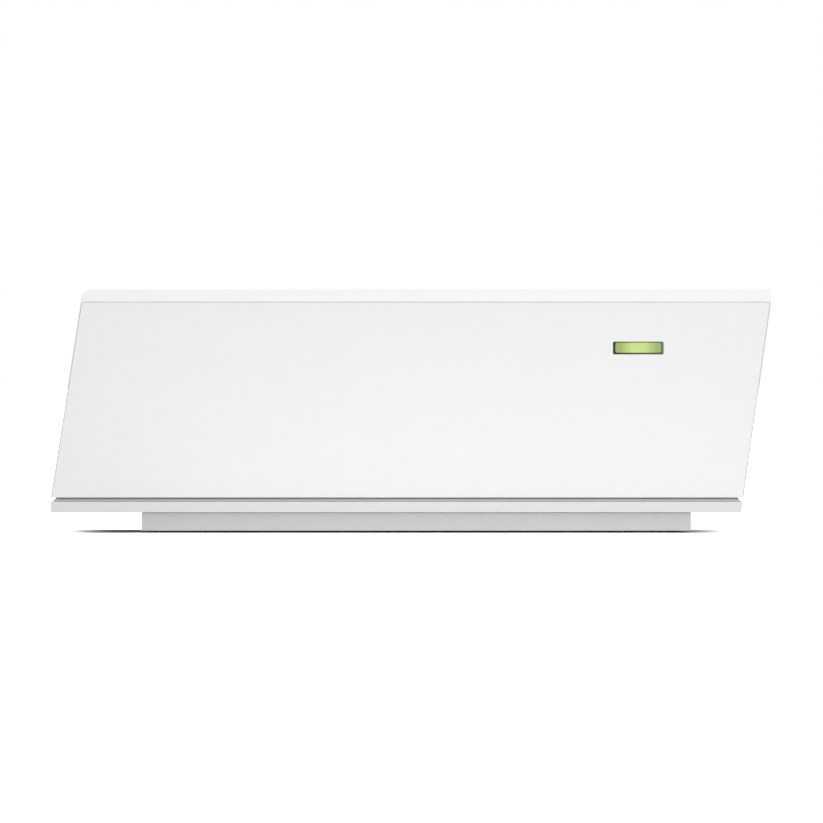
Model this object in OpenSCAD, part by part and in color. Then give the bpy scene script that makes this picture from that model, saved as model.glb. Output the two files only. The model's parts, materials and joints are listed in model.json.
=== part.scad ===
// Indoor unit of a video doorbell: a low leaning box on a recessed wall bracket,
// with a light window at the front and the sockets, keys and chime at the rear.
// Millimetres, +Z up, front face towards -Y, origin on the table under the middle of the box.

/* [Housing] */
// Width of the housing at its lower edge
body_w = 138.6; // [136:0.2:170]
// Depth of the housing from front to rear
body_d = 112; // [108:1:140]
// Height of the housing walls, without the cover and the tray
body_h = 39.15; // [36:0.05:50]
// Thickness of the housing walls
wall = 2; // [1.6:0.1:2.6]
// Angle by which both ends lean to the right
lean = 8.4; // [0:0.2:10]
// Moulding draft of both ends
draft = 0.45; // [0.1:0.05:1]

/* [Top cover] */
// Thickness of the cover's plate
cover_t = 2.5; // [1.8:0.1:3]
// Radius of the cover's left edge
cover_round = 2; // [0.5:0.1:2]
// Open seam between the cover and the walls
seam = 0.1; // [0.05:0.05:0.3]
// Depth that the cover's tongues reach into the housing
tongue_h = 2.6; // [1.5:0.1:4]
// Thickness of the cover's tongues
tongue_t = 1.4; // [1:0.1:2]

/* [Base tray] */
// Thickness of the tray's floor and visible rim
tray_t = 2.15; // [1.8:0.05:3]
// Height of the shadow groove above the rim
groove_h = 0.8; // [0.6:0.1:1.5]
// Depth of the shadow groove
groove_d = 0.7; // [0.4:0.1:1]
// Height of the dark line between the groove and the walls
shadow_gap = 0.2; // [0.1:0.05:0.4]
// Height of the locating lip inside the walls
lip_h = 3; // [2:0.2:4]
// Thickness of the locating lip
lip_t = 1.3; // [1:0.1:1.8]

/* [Wall bracket] */
// Width of the bracket that the housing stands on
bracket_w = 110; // [104:1:120]
// Depth of the bracket
bracket_d = 105; // [90:1:106]
// Height of the bracket without its pads
bracket_h = 3.65; // [3:0.05:5]
// Distance of the bracket's middle from the origin, to the right
bracket_shift = 1.1; // [0:0.1:3]
// Height that the rubber pads stand out below the bracket
pad_proud = 0.4; // [0.3:0.1:1.2]
// Radius of the rubber pads
pad_r = 5.5; // [4:0.5:6]
// Travel that frees the bracket from the tray
bracket_travel = 8; // [6:0.5:9]
// Spacing of the wall screws along the width
wall_screw_x = 60; // [56:1:64]
// Spacing of the wall screws along the depth
wall_screw_y = 36; // [32:1:40]
// Radius of the wall screw holes
wall_screw_r = 2.2; // [1.8:0.1:2.6]

/* [Light window] */
// Width of the window in the front wall
window_w = 10.1; // [8:0.1:14]
// Height of the window in the front wall
window_h = 2.5; // [2.2:0.1:4]
// Distance of the window from the origin, to the right
window_x = 45.5; // [30:0.5:48]
// Height of the window's middle above the table
window_z = 37; // [30:0.2:40]

/* [Rear panel] */
// Thickness of the rear panel
panel_t = 2; // [1.6:0.1:2.4]
// Distance of the panel's outer face in front of the rear edge
panel_recess = 1; // [0.6:0.1:2]
// Radius of the pairing button
pair_r = 3.2; // [2.6:0.1:3.6]
// Travel of the pairing button
pair_travel = 0.6; // [0.3:0.1:0.9]
// Radius of the volume wheel
wheel_r = 8.1; // [7.8:0.1:8.3]
// Thickness of the volume wheel
wheel_t = 3; // [2.4:0.2:3.4]
// Radius of the chime's loudspeaker
chime_r = 14; // [12:0.5:14]

/* [Circuit board] */
// Thickness of the main board
board_t = 1.6; // [1.2:0.2:2]
// Height of the posts between the tray's floor and the board
post_h = 6.1; // [5.5:0.1:8]
// Distance between the poles
pole_pitch = 3.9; // [3.5:0.1:4]
// Travel of the terminal's release keys
key_travel = 1.2; // [0.8:0.1:1.6]

/* [Hidden] */
$fn = 48;
EPS = 0.01;
CLEAR = 0.2;            // clearance between parts that are put together once
RUN = 0.05;             // radial clearance of what turns or slides

WHITE = "#f0f0ee";
BLACK = "#202226";
GREEN = "#b6d46a";
BOARD = "#1f5a38";
STEEL = "#b9bdc2";
BRASS = "#c9a24a";
poles = 4;              // wires on the door terminal, one release key for each

z_bracket = pad_proud;
z_tray = z_bracket + bracket_h + RUN;
z_floor = z_tray + tray_t;
z_body = z_floor + groove_h;
z_seam = z_body + body_h;
z_cover = z_seam + seam;
z_top = z_seam + cover_t;
z_board = z_floor + post_h;
z_comp = z_board + board_t;

y_front = -body_d / 2;
y_rear = body_d / 2;
y_panel1 = y_rear - panel_recess;
y_panel0 = y_panel1 - panel_t;

// Middle and half width of the leaning outline at height z
function axis_x(z) = (z - z_body) * tan(lean) - body_h * (tan(lean) - tan(draft)) / 2;
function half_w(z) = body_w / 2 - (z - z_body) * tan(draft);
function left_x(z) = axis_x(z) - half_w(z);
function right_x(z) = axis_x(z) + half_w(z);

// Case screws stand in the corners, clear of the bracket
boss_r = 3.2;
boss_h = 8.5;
boss_seat = 2;
z_boss = z_floor + boss_seat;
boss_left = left_x(z_body) + wall + 7;
boss_right = right_x(z_body) - wall - 6;
boss_y = y_rear - panel_recess - panel_t - 5;
boss_spots = [for (x = [boss_left, boss_right], y = [-boss_y, boss_y]) [x, y]];

// Studs of the bracket and the posts of the board
stud_r = 2;
stud_head_r = 3.5;
stud_head_t = 1.4;
stud_spots = [for (x = [-36, 36], y = [-28, 28]) [bracket_shift + x, y]];
board_x0 = boss_left + boss_r + 1.8;
board_x1 = boss_right - boss_r - 1.3;
board_y0 = y_front + 7;
board_y1 = y_panel0 - 3;
post_inset = 7.5;
post_spots = [
    for (x = [board_x0 + post_inset, board_x1 - post_inset], y = [board_y0 + 10, 0.6 * board_y1])
        [x, y]
];
screw_bore = 1.25;
screw_r = 1.2;

// Places on the rear panel, from left to right as seen from the front
chime_z = z_comp + chime_r + 1.4;
chime_x = left_x(chime_z + 8) + wall + chime_r + 2.9;
ear_r = chime_r + 1.2;
wheel_x = chime_x + chime_r + 9.5;
wheel_z = z_comp + 3.4;
wheel_y = y_rear - 0.3 - wheel_r;
reset_x = wheel_x + wheel_r + 5.6;
pair_x = reset_x + pair_r + 5.3;
key_z = z_comp + 4;
net_w = 16;
net_d = 21.4;
net_h = 13.4;
net_x = pair_x + pair_r + 1.4 + net_w / 2;
power_w = 9;
power_d = 14;
power_h = 11;
power_x = net_x + net_w / 2 + 3 + power_w / 2;
term_w = poles * pole_pitch + 1.2;
term_d = 12.5;
term_h = 11.5;
term_x = power_x + power_w / 2 + 3 + term_w / 2;

// Parts of the light path
lens_w = window_w - 0.8;
lens_h = window_h - 0.4;
lens_flange = 0.8;
y_lens0 = y_front + 0.1;
y_lens1 = y_front + wall + 0.9;
guide_t = 3;
guide_y1 = board_y0 + 4;
guide_y0 = guide_y1 - guide_t;
led_h = 0.9;

// ---------------------------------------------------------------- shapes that repeat

// Block with its lowest corner at p
module block(p, s) {
    translate(p) cube(s);
}

// Block centred on x and y, standing on z
module stand(x, y, z, s) {
    translate([x - s[0] / 2, y - s[1] / 2, z]) cube(s);
}

module post(x, y, z, r, h) {
    translate([x, y, z]) cylinder(r = r, h = h);
}

// Cylinder along +Y from y, at height z
module rod_y(x, y, z, r, len) {
    translate([x, y, z]) rotate([-90, 0, 0]) cylinder(r = r, h = len);
}

// Outline in the XZ plane carried along Y from y0 to y1
module along_y(y0, y1) {
    translate([0, y1, 0]) rotate([90, 0, 0]) linear_extrude(height = y1 - y0) children();
}

// Box whose ends lean with the housing, its outline drawn in by inset
module leaning(z0, z1, inset, y0, y1) {
    along_y(y0, y1) polygon([
        [left_x(z0) + inset, z0], [right_x(z0) - inset, z0],
        [right_x(z1) - inset, z1], [left_x(z1) + inset, z1]
    ]);
}

// Slot with round ends along Y, centred at x and y
module slot_y(x, y, z, r, len, h) {
    post(x, y - len / 2, z, r, h);
    post(x, y + len / 2, z, r, h);
    stand(x, y, z, [2 * r, len, h]);
}

// Chip with a row of legs on two sides
module leaded_chip(x, y, s, legs) {
    stand(x, y, z_comp + 0.15, s);
    for (side = [-1, 1], i = [0 : legs - 1])
        stand(x + (i - (legs - 1) / 2) * (s[0] - 1) / legs, y + side * (s[1] / 2 + 0.35), z_comp,
              [0.35, 0.7, 0.45]);
}

// Points of a smooth curve through pts, with steps to each stretch
function knot(pts, i) = pts[min(max(i, 0), len(pts) - 1)];
function curve_point(a, b, c, d, t) =
    0.5 * (2 * b + (c - a) * t + (2 * a - 5 * b + 4 * c - d) * t * t
           + (3 * b - a - 3 * c + d) * t * t * t);
function smooth(pts, steps) = [
    for (i = [0 : len(pts) - 2], s = [0 : steps - 1])
        curve_point(knot(pts, i - 1), knot(pts, i), knot(pts, i + 1), knot(pts, i + 2), s / steps),
    pts[len(pts) - 1]
];
function unit(v) = v / norm(v);
function heading(path, i) = unit(path[min(i + 1, len(path) - 1)] - path[max(i - 1, 0)]);

// Tube along a path; ref is a direction that the path never points in
module tube(path, r, ref, sides = 8) {
    rings = [
        for (i = [0 : len(path) - 1])
            let (t = heading(path, i), n = unit(cross(t, ref)), b = cross(t, n))
            for (k = [0 : sides - 1]) path[i] + r * (cos(360 * k / sides) * n + sin(360 * k / sides) * b)
    ];
    last = (len(path) - 1) * sides;
    polyhedron(points = rings, faces = concat(
        [[for (k = [0 : sides - 1]) k]],
        [[for (k = [sides - 1 : -1 : 0]) last + k]],
        [for (i = [0 : len(path) - 2], k = [0 : sides - 1]) let (n = (k + 1) % sides)
            [i * sides + n, i * sides + k, (i + 1) * sides + k, (i + 1) * sides + n]]
    ), convexity = 6);
}

// ---------------------------------------------------------------- shells

// Three walls with grooves for the rear panel, a window and four screw bosses
module housing_body() {
    color(WHITE) difference() {
        union() {
            difference() {
                leaning(z_body, z_seam, 0, y_front, y_rear);
                leaning(z_body - 1, z_seam + 1, wall, y_front + wall, y_rear + 1);
            }
            for (p = boss_spots) {
                post(p[0], p[1], z_boss, boss_r, boss_h);
                boss_web(p);
            }
            for (side = [-1, 1])
                block([window_x + side * (lens_w / 2 + lens_flange + 1.2) - 0.5, y_front + wall - EPS,
                       window_z - 3.2], [1, 2.2, 6.4]);
        }
        leaning(z_body - 1, z_seam + 1, wall - 0.8, y_panel0 - RUN, y_panel1 + RUN);
        block([window_x - window_w / 2, y_front - 1, window_z - window_h / 2], [window_w, wall + 2, window_h]);
        for (p = boss_spots) post(p[0], p[1], z_boss - 1, screw_bore, boss_h);
    }
}

// Web that ties a screw boss to the end wall, above the tray's lip
module boss_web(p) {
    z0 = z_body + lip_h + 0.4;
    z1 = z_boss + boss_h;
    side = p[0] < 0;
    along_y(p[1] - 0.8, p[1] + 0.8) polygon(side
        ? [[left_x(z0) + wall / 2, z0], [p[0] - boss_r + 0.4, z0],
           [p[0] - boss_r + 0.4, z1], [left_x(z1) + wall / 2, z1]]
        : [[p[0] + boss_r - 0.4, z0], [right_x(z0) - wall / 2, z0],
           [right_x(z1) - wall / 2, z1], [p[0] + boss_r - 0.4, z1]]);
}

// Panel that slides in the grooves of the end walls and frames the sockets
module rear_panel() {
    gap = 0.3;
    color(WHITE) difference() {
        leaning(z_body, z_seam - seam, wall - 0.7, y_panel0, y_panel1);
        translate([0, y_panel0 - 1, 0]) {
            block([net_x - net_w / 2 - gap, 0, z_comp - gap], [net_w + 2 * gap, panel_t + 2, net_h + 2 * gap]);
            block([power_x - power_w / 2 - gap, 0, z_comp - gap],
                  [power_w + 2 * gap, panel_t + 2, power_h + 2 * gap]);
            block([term_x - term_w / 2 - gap, 0, z_comp - gap],
                  [term_w + 2 * gap, panel_t + 2, term_h + 2 * gap]);
            block([wheel_x - 6.6, 0, wheel_z - 0.5], [13.2, panel_t + 2, wheel_t + 1]);
        }
        rod_y(pair_x, y_panel0 - 1, key_z, pair_r + 0.25, panel_t + 2);
        rod_y(reset_x, y_panel0 - 1, key_z, 0.9, panel_t + 2);
        for (a = ear_angles) rod_y(ear_x(a), y_panel0 - 1, ear_z(a), 0.95, panel_t + 0.3);
        chime_slots();
        vent_row();
    }
}

// Slots in front of the loudspeaker, as long as its cone is there
module chime_slots() {
    pitch = 3.1;
    reach = chime_r - 3.2;
    side = floor((reach - 1.2) / pitch);
    for (i = [-side : side]) {
        half = sqrt(reach * reach - pow(i * pitch, 2)) - 0.7;
        block([chime_x + i * pitch - 0.75, y_panel0 - 1, chime_z - half], [1.5, panel_t + 2, 2 * half]);
    }
}

// Row of upright ventilation slots above the sockets
module vent_row() {
    for (i = [0 : 15])
        block([wheel_x - 4 + i * 5, y_panel0 - 1, z_seam - 11], [1.6, panel_t + 2, 7]);
}

// Floor with a rim, shadow groove, locating lip, board posts and key slots for the bracket
module base_tray() {
    color(WHITE) difference() {
        union() {
            along_y(y_front, y_rear) polygon([
                [left_x(z_body), z_tray], [right_x(z_tray), z_tray],
                [right_x(z_floor), z_floor], [left_x(z_body), z_floor]
            ]);
            difference() {
                groove_band();
                leaning(z_floor - 1, z_body + 1, wall + lip_t + CLEAR, y_front + wall + lip_t + CLEAR,
                        y_panel0 - lip_t - CLEAR);
            }
            difference() {
                leaning(z_floor, z_body + lip_h, wall + CLEAR, y_front + wall + CLEAR, y_panel0 - CLEAR);
                leaning(z_floor - 1, z_body + lip_h + 1, wall + lip_t + CLEAR,
                        y_front + wall + lip_t + CLEAR, y_panel0 - lip_t - CLEAR);
            }
            for (p = post_spots) post(p[0], p[1], z_floor, 3.2, post_h);
            for (p = boss_spots) post(p[0], p[1], z_floor, boss_r + 0.4, boss_seat);
        }
        for (p = post_spots) post(p[0], p[1], z_floor + 0.5, screw_bore, post_h);
        for (p = boss_spots) {
            post(p[0], p[1], z_tray - 1, 3, tray_t + 1.3);
            post(p[0], p[1], z_tray - 1, 1.7, tray_t + boss_seat + 2);
        }
        for (p = stud_spots) key_slot(p);
        floor_vents(z_tray - 1, tray_t + 2);
    }
}

// Band set back between rim and walls; its outer part stays low, so that a dark line shows above it
module groove_band() {
    ledge = groove_d + 0.6;
    leaning(z_floor, z_body - shadow_gap, groove_d, y_front + groove_d, y_rear - groove_d);
    leaning(z_floor, z_body, ledge, y_front + ledge, y_rear - ledge);
}

// Slot for one stud of the bracket, with a round way out for its head
module key_slot(p) {
    post(p[0], p[1], z_tray - 1, stud_r + 0.3, tray_t + 2);
    post(p[0] - bracket_travel, p[1], z_tray - 1, stud_head_r + 0.4, tray_t + 2);
    block([p[0] - bracket_travel, p[1] - stud_r - 0.3, z_tray - 1],
          [bracket_travel, 2 * stud_r + 0.6, tray_t + 2]);
}

// Ventilation slots through the tray and the bracket
module floor_vents(z, h) {
    for (i = [-3 : 3]) slot_y(bracket_shift + 6 * i, 0, z, 1.2, 30, h);
}

// Plate with a bevelled front and rear edge, a round left edge and tongues that reach into the walls
module top_cover() {
    z0 = z_cover;
    z1 = z_top;
    bevel = 0.5;
    r = min(cover_round, cover_t - seam + 0.2);
    side_x = left_x(z_seam) + (z1 - z_seam) * (tan(lean) + tan(draft));
    turn = 90 - lean - draft;
    centre = [side_x + r * tan(turn / 2), z1 - r];
    color(WHITE) {
        intersection() {
            along_y(y_front, y_rear) polygon(concat(
                [[left_x(z_seam) + (z0 - z_seam) * (tan(lean) + tan(draft)), z0], [right_x(z_seam), z0],
                 [right_x(z_seam) - 0.25, z1]],
                [for (i = [0 : 8]) centre + r * [cos(90 + turn * i / 8), sin(90 + turn * i / 8)]]
            ));
            translate([-body_w, 0, 0]) rotate([90, 0, 90]) linear_extrude(height = 2 * body_w) polygon([
                [y_front, z0], [y_rear, z0], [y_rear, z0 + 0.6], [y_rear - bevel, z1],
                [y_front + bevel, z1], [y_front, z0 + 0.6]
            ]);
        }
        cover_tongues();
    }
}

// Upright tongues inside the four walls, set in far enough to pull straight up
module cover_tongues() {
    x0 = left_x(z_seam) + wall + CLEAR;
    x1 = right_x(z_seam - tongue_h) - wall - CLEAR;
    z0 = z_seam - tongue_h;
    h = tongue_h + seam + EPS;
    y0 = y_front + wall + CLEAR;
    y1 = y_panel0 - CLEAR;
    for (x = [x0, x1 - tongue_t]) block([x, -40, z0], [tongue_t, 80, h]);
    for (y = [y0, y1 - tongue_t]) block([-52, y, z0], [104, tongue_t, h]);
}

// Shallow inverted tray with bosses for the wall screws, pockets for the pads and mushroom studs
module wall_bracket() {
    skin = 1.6;
    x0 = bracket_shift - bracket_w / 2;
    y0 = -bracket_d / 2;
    color(WHITE) difference() {
        union() {
            difference() {
                block([x0, y0, z_bracket], [bracket_w, bracket_d, bracket_h]);
                block([x0 + 2, y0 + 2, z_bracket - 1], [bracket_w - 4, bracket_d - 4, bracket_h - skin + 1]);
            }
            for (p = wall_screw_spots()) post(p[0], p[1], z_bracket, 6, bracket_h);
            for (p = pad_spots()) post(p[0], p[1], z_bracket, pad_r + 1.4, bracket_h);
            for (p = stud_spots) post(p[0], p[1], z_bracket, 4, bracket_h);
            for (s = [-1, 1]) {
                stand(bracket_shift, s * (wall_screw_y / 2 + 12), z_bracket, [bracket_w - 2, 1.2, bracket_h]);
                stand(bracket_shift + s * 23, 0, z_bracket, [1.2, bracket_d - 2, bracket_h]);
            }
            for (p = stud_spots) {
                post(p[0], p[1], z_bracket, stud_r, bracket_h + RUN + tray_t + 0.2 + EPS);
                post(p[0], p[1], z_floor + 0.2, stud_head_r, stud_head_t);
            }
        }
        for (p = wall_screw_spots()) {
            post(p[0], p[1], z_bracket - 1, wall_screw_r, bracket_h + 2);
            translate([p[0], p[1], z_bracket + 1.3])
                cylinder(r1 = wall_screw_r, r2 = wall_screw_r + 2.06, h = bracket_h - 1.3 + EPS);
        }
        for (p = pad_spots()) post(p[0], p[1], z_bracket - 1, pad_r + 0.1, 1.8);
        floor_vents(z_bracket - 1, bracket_h + 2);
    }
}

function wall_screw_spots() = [
    for (x = [-1, 1], y = [-1, 1]) [bracket_shift + x * wall_screw_x / 2, y * wall_screw_y / 2]
];
function pad_spots() = [
    for (x = [-1, 1], y = [-1, 1])
        [bracket_shift + x * (bracket_w / 2 - pad_r - 2.4), y * (bracket_d / 2 - pad_r - 2.4)]
];

module foot_pads() {
    color("#3a3b3d") for (p = pad_spots()) post(p[0], p[1], 0, pad_r, pad_proud + 0.8);
}

// Pan-head screw with a cross recess, pointing up from its seat at z
module screw_up(x, y, z, r, head_r, head_t, len) {
    difference() {
        union() {
            post(x, y, z - head_t, head_r, head_t);
            post(x, y, z, r, len);
        }
        for (s = [[0.7, 2.6], [2.6, 0.7]]) stand(x, y, z - head_t - EPS, [s[0], s[1], head_t * 0.6]);
    }
}

module case_screws() {
    color(STEEL) for (p = boss_spots) screw_up(p[0], p[1], z_floor + 0.3, screw_r, 2.7, 1.8, 8.6);
}

// ---------------------------------------------------------------- light path

// Clear green lens with a flange behind the wall
module light_lens() {
    color(GREEN) {
        block([window_x - lens_w / 2, y_lens0, window_z - lens_h / 2], [lens_w, y_lens1 - y_lens0, lens_h]);
        difference() {
            block([window_x - lens_w / 2 - lens_flange, y_front + wall + 0.1, window_z - lens_h / 2 - lens_flange],
                  [lens_w + 2 * lens_flange, 0.8, lens_h + 2 * lens_flange]);
            block([window_x - lens_w / 2 + EPS, y_front, window_z - lens_h / 2 + EPS],
                  [lens_w - 2 * EPS, wall + 2, lens_h - 2 * EPS]);
        }
    }
}

// Dark sleeve that lines the window around the lens
module light_frame() {
    color(BLACK) difference() {
        block([window_x - window_w / 2, y_front + 0.45, window_z - window_h / 2],
              [window_w, wall - 0.45, window_h]);
        block([window_x - lens_w / 2 - 0.05, y_front - 1, window_z - lens_h / 2 - 0.05],
              [lens_w + 0.1, wall + 3, lens_h + 0.1]);
    }
}

// Clear bar that stands over the lamps and turns their light to the lens
module light_guide() {
    color("#dfe9df") translate([window_x - lens_w / 2 + 0.2, 0, 0])
        rotate([90, 0, 90]) linear_extrude(height = lens_w - 0.4) polygon([
            [guide_y0, z_comp + led_h + 0.2], [guide_y1, z_comp + led_h + 0.2],
            [guide_y1, window_z + lens_h / 2 - guide_t], [guide_y0, window_z + lens_h / 2],
            [y_lens1 + 0.1, window_z + lens_h / 2], [y_lens1 + 0.1, window_z - lens_h / 2],
            [guide_y0, window_z - lens_h / 2]
        ]);
}

// Dark chimney on the board that holds the guide upright
module light_holder() {
    w = lens_w + 2.4;
    d = guide_t + 2.6;
    y = (guide_y0 + guide_y1) / 2;
    color(BLACK) difference() {
        stand(window_x, y, z_comp, [w, d, 13]);
        stand(window_x, y, z_comp - 1, [lens_w - 0.2, guide_t + 0.2, 15]);
    }
}

module status_leds() {
    color("#f4f6c8") for (i = [-1 : 1])
        stand(window_x + 2.9 * i, (guide_y0 + guide_y1) / 2, z_comp, [2, 1.25, led_h]);
}

// ---------------------------------------------------------------- board and chips

module main_board() {
    color(BOARD) difference() {
        block([board_x0, board_y0, z_board], [board_x1 - board_x0, board_y1 - board_y0, board_t]);
        for (p = post_spots) post(p[0], p[1], z_board - 1, 1.6, board_t + 2);
    }
}

module board_screws() {
    color(STEEL) for (p = post_spots) difference() {
        union() {
            post(p[0], p[1], z_board - 5, screw_r, 5 + board_t);
            post(p[0], p[1], z_comp, 2.7, 1.8);
        }
        for (s = [[0.7, 2.6], [2.6, 0.7]]) stand(p[0], p[1], z_comp + 0.8, [s[0], s[1], 2]);
    }
}

proc_spot = [4, -6];
proc_s = 17;
proc_t = 1.4;
pad_t = 0.6;

module processor() {
    color(BLACK) stand(proc_spot[0], proc_spot[1], z_comp, [proc_s, proc_s, proc_t]);
}

module thermal_pad() {
    color("#8fa3b5") stand(proc_spot[0], proc_spot[1], z_comp + proc_t, [proc_s - 2, proc_s - 2, pad_t]);
}

// Finned block on the processor
module heat_sink() {
    s = 24;
    z = z_comp + proc_t + pad_t;
    color(STEEL) {
        stand(proc_spot[0], proc_spot[1], z, [s, s, 2]);
        for (i = [0 : 7])
            stand(proc_spot[0] - s / 2 + 0.6 + i * (s - 1.2) / 7, proc_spot[1], z + 2 - EPS, [1.2, s, 7]);
    }
}

module memory_chips() {
    color(BLACK) for (y = [-15, 1]) stand(27, y, z_comp, [8, 12.5, 1.1]);
}

module flash_chip() {
    color(BLACK) leaded_chip(27, 15.5, [8, 5, 1.5], 4);
}

module video_chip() {
    color(BLACK) stand(-21, -6, z_comp, [13, 13, 1.2]);
}

module radio_board() {
    color("#173f7a") stand(-32, -31, z_comp, [22, 16, 0.8]);
}

module radio_shield() {
    color(STEEL) difference() {
        stand(-30, -31, z_comp + 0.8, [15, 12.5, 2]);
        stand(-30, -31, z_comp, [14.4, 11.9, 2.4]);
    }
}

// One antenna behind the front wall and one at the left end wall
ant_z = z_comp + 12;
module antenna_boards() {
    color(BOARD) {
        block([-30, y_front + wall + 0.2, ant_z], [36, 0.8, 9]);
        block([left_x(ant_z) + wall + 2, -34, ant_z], [0.8, 36, 9]);
    }
}

// Thin leads from the radio board to both antennas
module antenna_leads() {
    lead_r = 0.55;
    x1 = left_x(ant_z) + wall + 2.8 + lead_r + 0.2;
    y1 = y_front + wall + 1 + lead_r + 0.2;
    color(BLACK) {
        tube(smooth([[-40.5, -27, z_comp + 1.4], [-47, -25, z_comp + 3], [-57, -22, z_comp + 7],
                     [x1 + 1.4, -19, z_comp + 11], [x1 + 0.1, -17.5, z_comp + 14], [x1, -16, z_comp + 17]], 4), lead_r, [0.2, 1, 0.1]);
        tube(smooth([[-40.5, -35, z_comp + 1.4], [-42, -41, z_comp + 3.5], [-36, -48, z_comp + 8],
                     [-28, y1 + 1.2, z_comp + 12], [-24, y1 + 0.1, z_comp + 14.5], [-20, y1, z_comp + 17]], 4), lead_r, [0.1, 0.3, -1]);
    }
}

cell_spot = [-43, 3];
module clock_battery() {
    color(STEEL) post(cell_spot[0], cell_spot[1], z_comp + 1.4, 10, 3.2);
}

module battery_holder() {
    color(BLACK) difference() {
        post(cell_spot[0], cell_spot[1], z_comp, 11.6, 4.4);
        post(cell_spot[0], cell_spot[1], z_comp + 1.4, 10.15, 4);
        stand(cell_spot[0] + 10, cell_spot[1], z_comp + 1.4, [6, 9, 4]);
        post(cell_spot[0], cell_spot[1], z_comp - 1, 5, 4);
    }
}

module crystals() {
    color(STEEL) for (p = [[-21, 7], [12, 12], [4, -22]]) stand(p[0], p[1], z_comp, [5, 3.2, 0.9]);
}

// Small chip resistors and capacitors in rows beside the chips
module small_parts() {
    color("#b7a68a") {
        for (i = [0 : 9]) stand(-8 + 2.6 * i, -27, z_comp, [1, 1.8, 0.6]);
        for (i = [0 : 6]) stand(-30 + 3 * i, -17, z_comp, [1, 1.8, 0.6]);
        for (i = [0 : 7]) stand(17, -16 + 2.6 * i, z_comp, [1.8, 1, 0.6]);
        for (i = [0 : 5]) stand(34.5, -18 + 2.6 * i, z_comp, [1.8, 1, 0.6]);
        for (i = [0 : 6]) stand(-28 + 3 * i, 12, z_comp, [1, 1.8, 0.6]);
        for (i = [0 : 5]) stand(36 + 2.6 * i, -31, z_comp, [1, 1.8, 0.6]);
    }
}

// ---------------------------------------------------------------- sockets

// Shielded network jack with a stepped mouth
module network_socket() {
    y0 = y_panel1 - net_d;
    color(STEEL) difference() {
        block([net_x - net_w / 2, y0, z_comp], [net_w, net_d, net_h]);
        block([net_x - 5.9, y_panel1 - 14.5, z_comp + 3], [11.8, 15, 7.8]);
        block([net_x - 3.1, y_panel1 - 14.5, z_comp + 1.6], [6.2, 15, 1.5]);
        for (side = [-1, 1])
            block([net_x + side * 5.6 - 1.4, y_panel1 - 0.6, z_comp + 11.2], [2.8, 1, 1.5]);
        for (side = [-1, 1])
            block([net_x + side * 8 - 0.25, y_panel1 - 12, z_comp + 4], [0.5, 5, 4]);
    }
}

// Eight sprung contacts in the jack's roof
module network_contacts() {
    color(BRASS) for (i = [0 : 7])
        translate([net_x - 3.57 + i * 1.02 - 0.2, y_panel1 - 13.9, z_comp + 9.5])
            rotate([-5, 0, 0]) cube([0.4, 9, 0.3]);
}

module network_lights() {
    for (side = [-1, 1])
        color(side < 0 ? "#9fd36a" : "#e8b64a")
            block([net_x + side * 5.6 - 1.35, y_panel1 - 0.6, z_comp + 11.25], [2.7, 0.55, 1.4]);
}

module network_transformer() {
    color(BLACK) leaded_chip(net_x, y_panel1 - net_d - 9, [12.5, 7, 5.6], 8);
}

power_z = z_comp + power_h / 2;
// Round low-voltage inlet
module power_socket() {
    color(BLACK) difference() {
        union() {
            block([power_x - power_w / 2, y_panel1 - power_d, z_comp], [power_w, power_d - 1, power_h]);
            rod_y(power_x, y_panel1 - 2, power_z, 4.4, 2);
        }
        rod_y(power_x, y_panel1 - 10, power_z, 3.15, 11);
    }
}

module power_pin() {
    color(STEEL) rod_y(power_x, y_panel1 - 10, power_z, 1, 8.8);
}

module input_capacitors() {
    color("#2b2f3a") for (p = [[34, 32, 4, 11], [25, 32, 4, 11], [38, 21, 3.2, 8]]) {
        post(p[0], p[1], z_comp, p[2] - 0.3, 1);
        post(p[0], p[1], z_comp + 1 - EPS, p[2], p[3]);
    }
}

// Square chokes with a round core showing in the top
module power_inductors() {
    color("#43464c") for (p = [[47, 15, 9], [47, 3, 7]]) difference() {
        stand(p[0], p[1], z_comp, [p[2], p[2], 4.2]);
        difference() {
            post(p[0], p[1], z_comp + 3.7, p[2] / 2 - 0.7, 1);
            post(p[0], p[1], z_comp + 3.2, p[2] / 2 - 1.6, 2);
        }
    }
}

module power_chips() {
    color(BLACK) for (p = [[38, 9], [46, -7]]) leaded_chip(p[0], p[1], [5, 4, 1.5], 4);
}

// ---------------------------------------------------------------- door terminal

// Block with a wire funnel and a key well for each pole
module door_terminal() {
    y0 = y_panel1 - term_d;
    color("#4d8f55") difference() {
        block([term_x - term_w / 2, y0, z_comp], [term_w, term_d, term_h]);
        for (i = [0 : poles - 1]) {
            rod_y(pole_x(i), y_panel1 - 7, z_comp + 4, 1.25, 8);
            translate([pole_x(i), y_panel1 - 1.2, z_comp + 4]) rotate([-90, 0, 0])
                cylinder(r1 = 1.25, r2 = 1.75, h = 1.2 + EPS);
            block([pole_x(i) - 1.35, y0 + 2, z_comp + term_h - 4], [2.7, 5.2, 5]);
        }
    }
}

function pole_x(i) = term_x + (i - (poles - 1) / 2) * pole_pitch;

// Lever head of one release key, standing in its well
module release_key(i) {
    z0 = z_comp + term_h - 4 + key_travel + 0.2;
    if (i < poles) color("#f08a24") {
        block([pole_x(i) - 1.2, y_panel1 - term_d + 2.15, z0], [2.4, 4.9, 4]);
        block([pole_x(i) - 1.2, y_panel1 - term_d + 2.15, z0 + 4 - EPS], [2.4, 3.4, 0.8]);
    }
}

module door_relay() {
    color("#2b5fa8") stand(24, -38, z_comp, [19, 10, 12]);
}

// Wound ring beside the terminal
module bus_choke() {
    color(BRASS) translate([49, -22, z_comp + 3.2]) rotate_extrude() translate([4, 0]) circle(r = 2, $fn = 24);
    color(BLACK) stand(49, -22, z_comp, [10, 10, 1.2 - EPS]);
}

// ---------------------------------------------------------------- keys and wheel

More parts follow.
